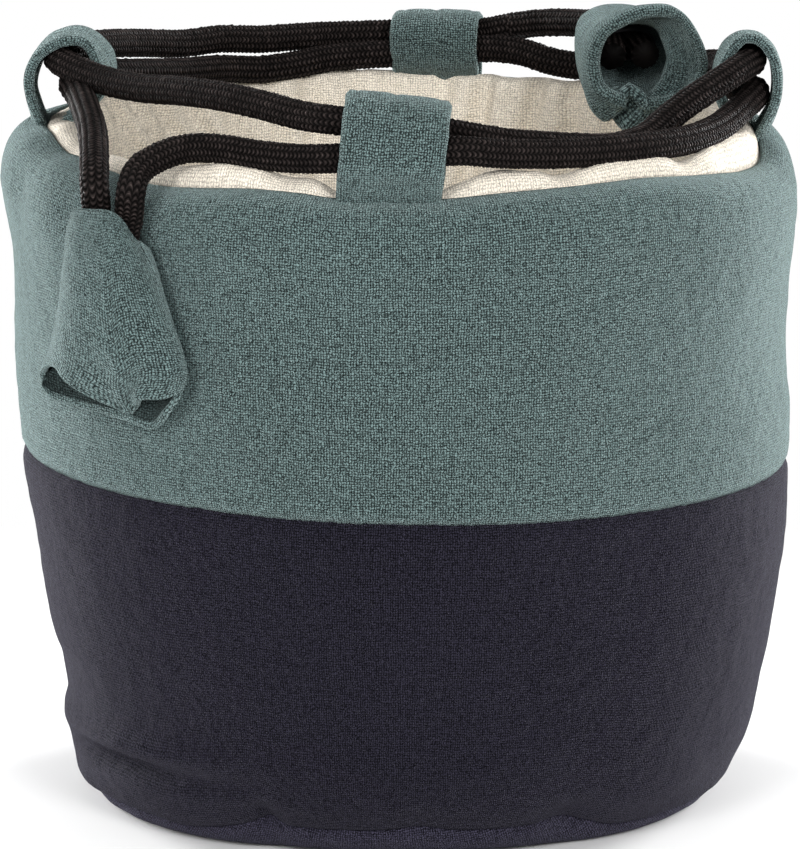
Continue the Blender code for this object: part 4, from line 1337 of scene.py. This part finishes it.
class POUCH_OT_bindings(bpy.types.Operator):
    """Makes the thread wound round the cord ends in each cover"""

    bl_idname = "pouch.bindings"
    bl_label = "Bindings"

    def execute(self, context):
        way, across, down = lying_frame()
        outwards = HANGING_WAY.cross(HANGING_ACROSS)
        winds, steps = 5, 28
        first, length, half_wide, half_thick = 7.0, 3.0, 5.0, 2.75  # in mm
        for name, neck, axis, side, up in (
            ("hanging", HANGING_NECK, HANGING_WAY, HANGING_ACROSS, outwards),
            ("lying", LYING_NECK, way, across, down),
        ):
            curve = bpy.data.curves.new(f"{name}_binding", "CURVE")
            curve.dimensions = "3D"
            curve.bevel_depth = 0.28 * MM
            curve.bevel_resolution = 3
            curve.use_fill_caps = True
            line = curve.splines.new("POLY")
            count = winds * steps
            line.points.add(count - 1)
            for i, spot in enumerate(line.points):
                turn = 2 * math.pi * i / steps
                place = (
                    neck + axis * ((first + length * i / count) * MM)
                    + side * (half_wide * MM * math.cos(turn))
                    + up * (half_thick * MM * math.sin(turn))
                )
                spot.co = (*place, 1.0)
            piece = bpy.data.objects.new(f"{name}_binding", curve)
            bpy.context.scene.collection.objects.link(piece)
            chosen(piece)
            bpy.ops.object.convert(target="MESH")
            piece = bpy.context.view_layer.objects.active
            finished(piece, sewing_thread(), f"{name}_cover")
            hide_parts(f"cord_binding_{name}")
        return {"FINISHED"}


class POUCH_OT_stage(bpy.types.Operator):
    """Makes the floor, the surround, the lamps and the camera"""

    bl_idname = "pouch.stage"
    bl_label = "Stage"

    def execute(self, context):
        self.floor()
        self.surround(context.scene)
        self.lamps(context.scene.pouch_stage)
        self.camera(context.scene)
        context.scene.view_settings.view_transform = "Standard"
        return {"FINISHED"}

    def floor(self):
        """A pale floor that the camera sees as white away from the bag's shadow."""
        bpy.ops.object.select_all(action="DESELECT")
        bpy.ops.mesh.primitive_plane_add(size=6.0, location=(0, 0, -0.0002))
        floor = bpy.context.view_layer.objects.active
        floor.name = "floor"
        n = Finish("white_floor")
        n.shader["Base Color"].default_value = (0.93, 0.93, 0.93, 1)
        n.shader["Roughness"].default_value = 0.9
        n.put(n.shader["Normal"], n.bump(n.noise(n.place(), 40.0, 3.0), 0.05, 0.2 * MM))
        away = n.add("VectorMath", operation="LENGTH")
        n.put(away.inputs[0], n.place())
        blank = n.fed(
            n.add("MapRange", interpolation_type="SMOOTHSTEP"), away.outputs["Value"],
            0.075, 0.21, 0.0, 1.0,
        )
        seen = n.add("LightPath").outputs["Is Camera Ray"]
        cloth = n.tree.nodes["Principled BSDF"].outputs[0]
        mixed = n.fed(
            n.add("MixShader"), n.math("MULTIPLY", seen, blank), cloth, n.add("Emission").outputs[0]
        )
        n.put(n.tree.nodes["Material Output"].inputs["Surface"], mixed)
        floor.data.materials.append(n.material)

    def surround(self, scene):
        """A plain surround that lights the bag softly, and that is seen as white."""
        scene.world = bpy.data.worlds.new("white_surround")
        scene.world.use_nodes = True
        n = Nodes(scene.world.node_tree)
        lit = n.tree.nodes["Background"]
        lit.inputs["Color"].default_value = (1, 1, 1, 1)
        lit.inputs["Strength"].default_value = scene.pouch_stage.surround
        seen = n.add("Background")
        seen.inputs["Strength"].default_value = 1.0
        path = n.add("LightPath").outputs
        rays = n.math("ADD", path["Is Camera Ray"], path["Is Glossy Ray"])
        rays = n.math("ADD", rays, path["Is Transmission Ray"], clamp=True)
        mixed = n.fed(n.add("MixShader"), rays, lit.outputs[0], seen.outputs[0])
        n.put(n.tree.nodes["World Output"].inputs["Surface"], mixed)

    def lamps(self, stage):
        for name, place, size, power in (
            ("left_lamp", (-0.48, 0.48, 0.13), 0.26, stage.sides),
            ("right_lamp", (0.48, 0.48, 0.13), 0.26, stage.sides),
            ("top_lamp", (0.0, -0.10, 0.80), 0.35, stage.top),
            ("front_left_lamp", (-0.55, -1.05, 0.52), 0.4, stage.front * 0.42),
            ("front_right_lamp", (0.50, -1.12, 0.58), 0.4, stage.front * 0.58),
        ):
            bpy.ops.object.light_add(type="AREA", location=place)
            lamp = bpy.context.view_layer.objects.active
            lamp.name = name
            lamp.data.energy = power
            lamp.data.size = size
            aimed(lamp, (0, 0, 0.06))

    def camera(self, scene):
        bpy.ops.object.camera_add(location=(0, -1.18, 0.3188))
        camera = bpy.context.view_layer.objects.active
        camera.name = "front_camera"
        camera.data.lens = 299.56
        camera.data.sensor_width = 36.0
        camera.data.shift_y = 0.0042
        camera.data.clip_end = 20
        aimed(camera, (0, 0, 0.062))
        scene.camera = camera


def aimed(thing, target):
    """Turns a lamp or camera towards a point."""
    way = Vector(target) - thing.location
    thing.rotation_euler = way.to_track_quat("-Z", "Y").to_euler()


class POUCH_PT_panel(bpy.types.Panel):
    """Lists the pouch's sizes, colours and pieces"""

    bl_idname = "POUCH_PT_panel"
    bl_label = "Tea pouch"
    bl_space_type = "VIEW_3D"
    bl_region_type = "UI"
    bl_category = "Tea pouch"

    def draw(self, context):
        layout = self.layout
        scene = context.scene
        for group in (scene.pouch_sizes, scene.pouch_colours, scene.pouch_stage):
            box = layout.box()
            for key in group.__annotations__:
                box.prop(group, key)
        for step in MAKING_ORDER:
            layout.operator(f"pouch.{step}")


MAKING_ORDER = (
    "stage", "hanging_cord", "lying_cord", "wadding", "outer_cloth", "lining", "loops", "covers",
    "bindings",
)


CLASSES = (
    PouchSizes, PouchColours, PouchStage, POUCH_OT_outer_cloth, POUCH_OT_lining, POUCH_OT_wadding,
    POUCH_OT_loops, POUCH_OT_hanging_cord, POUCH_OT_lying_cord, POUCH_OT_covers,
    POUCH_OT_bindings, POUCH_OT_stage, POUCH_PT_panel,
)


def register():
    for kind in CLASSES:
        bpy.utils.register_class(kind)
    bpy.types.Scene.pouch_sizes = PointerProperty(type=PouchSizes)
    bpy.types.Scene.pouch_colours = PointerProperty(type=PouchColours)
    bpy.types.Scene.pouch_stage = PointerProperty(type=PouchStage)


def unregister():
    del bpy.types.Scene.pouch_stage
    del bpy.types.Scene.pouch_colours
    del bpy.types.Scene.pouch_sizes
    for kind in reversed(CLASSES):
        bpy.utils.unregister_class(kind)


def main():
    register()
    for step in MAKING_ORDER:
        getattr(bpy.ops.pouch, step)()


if __name__ == "__main__":
    main()
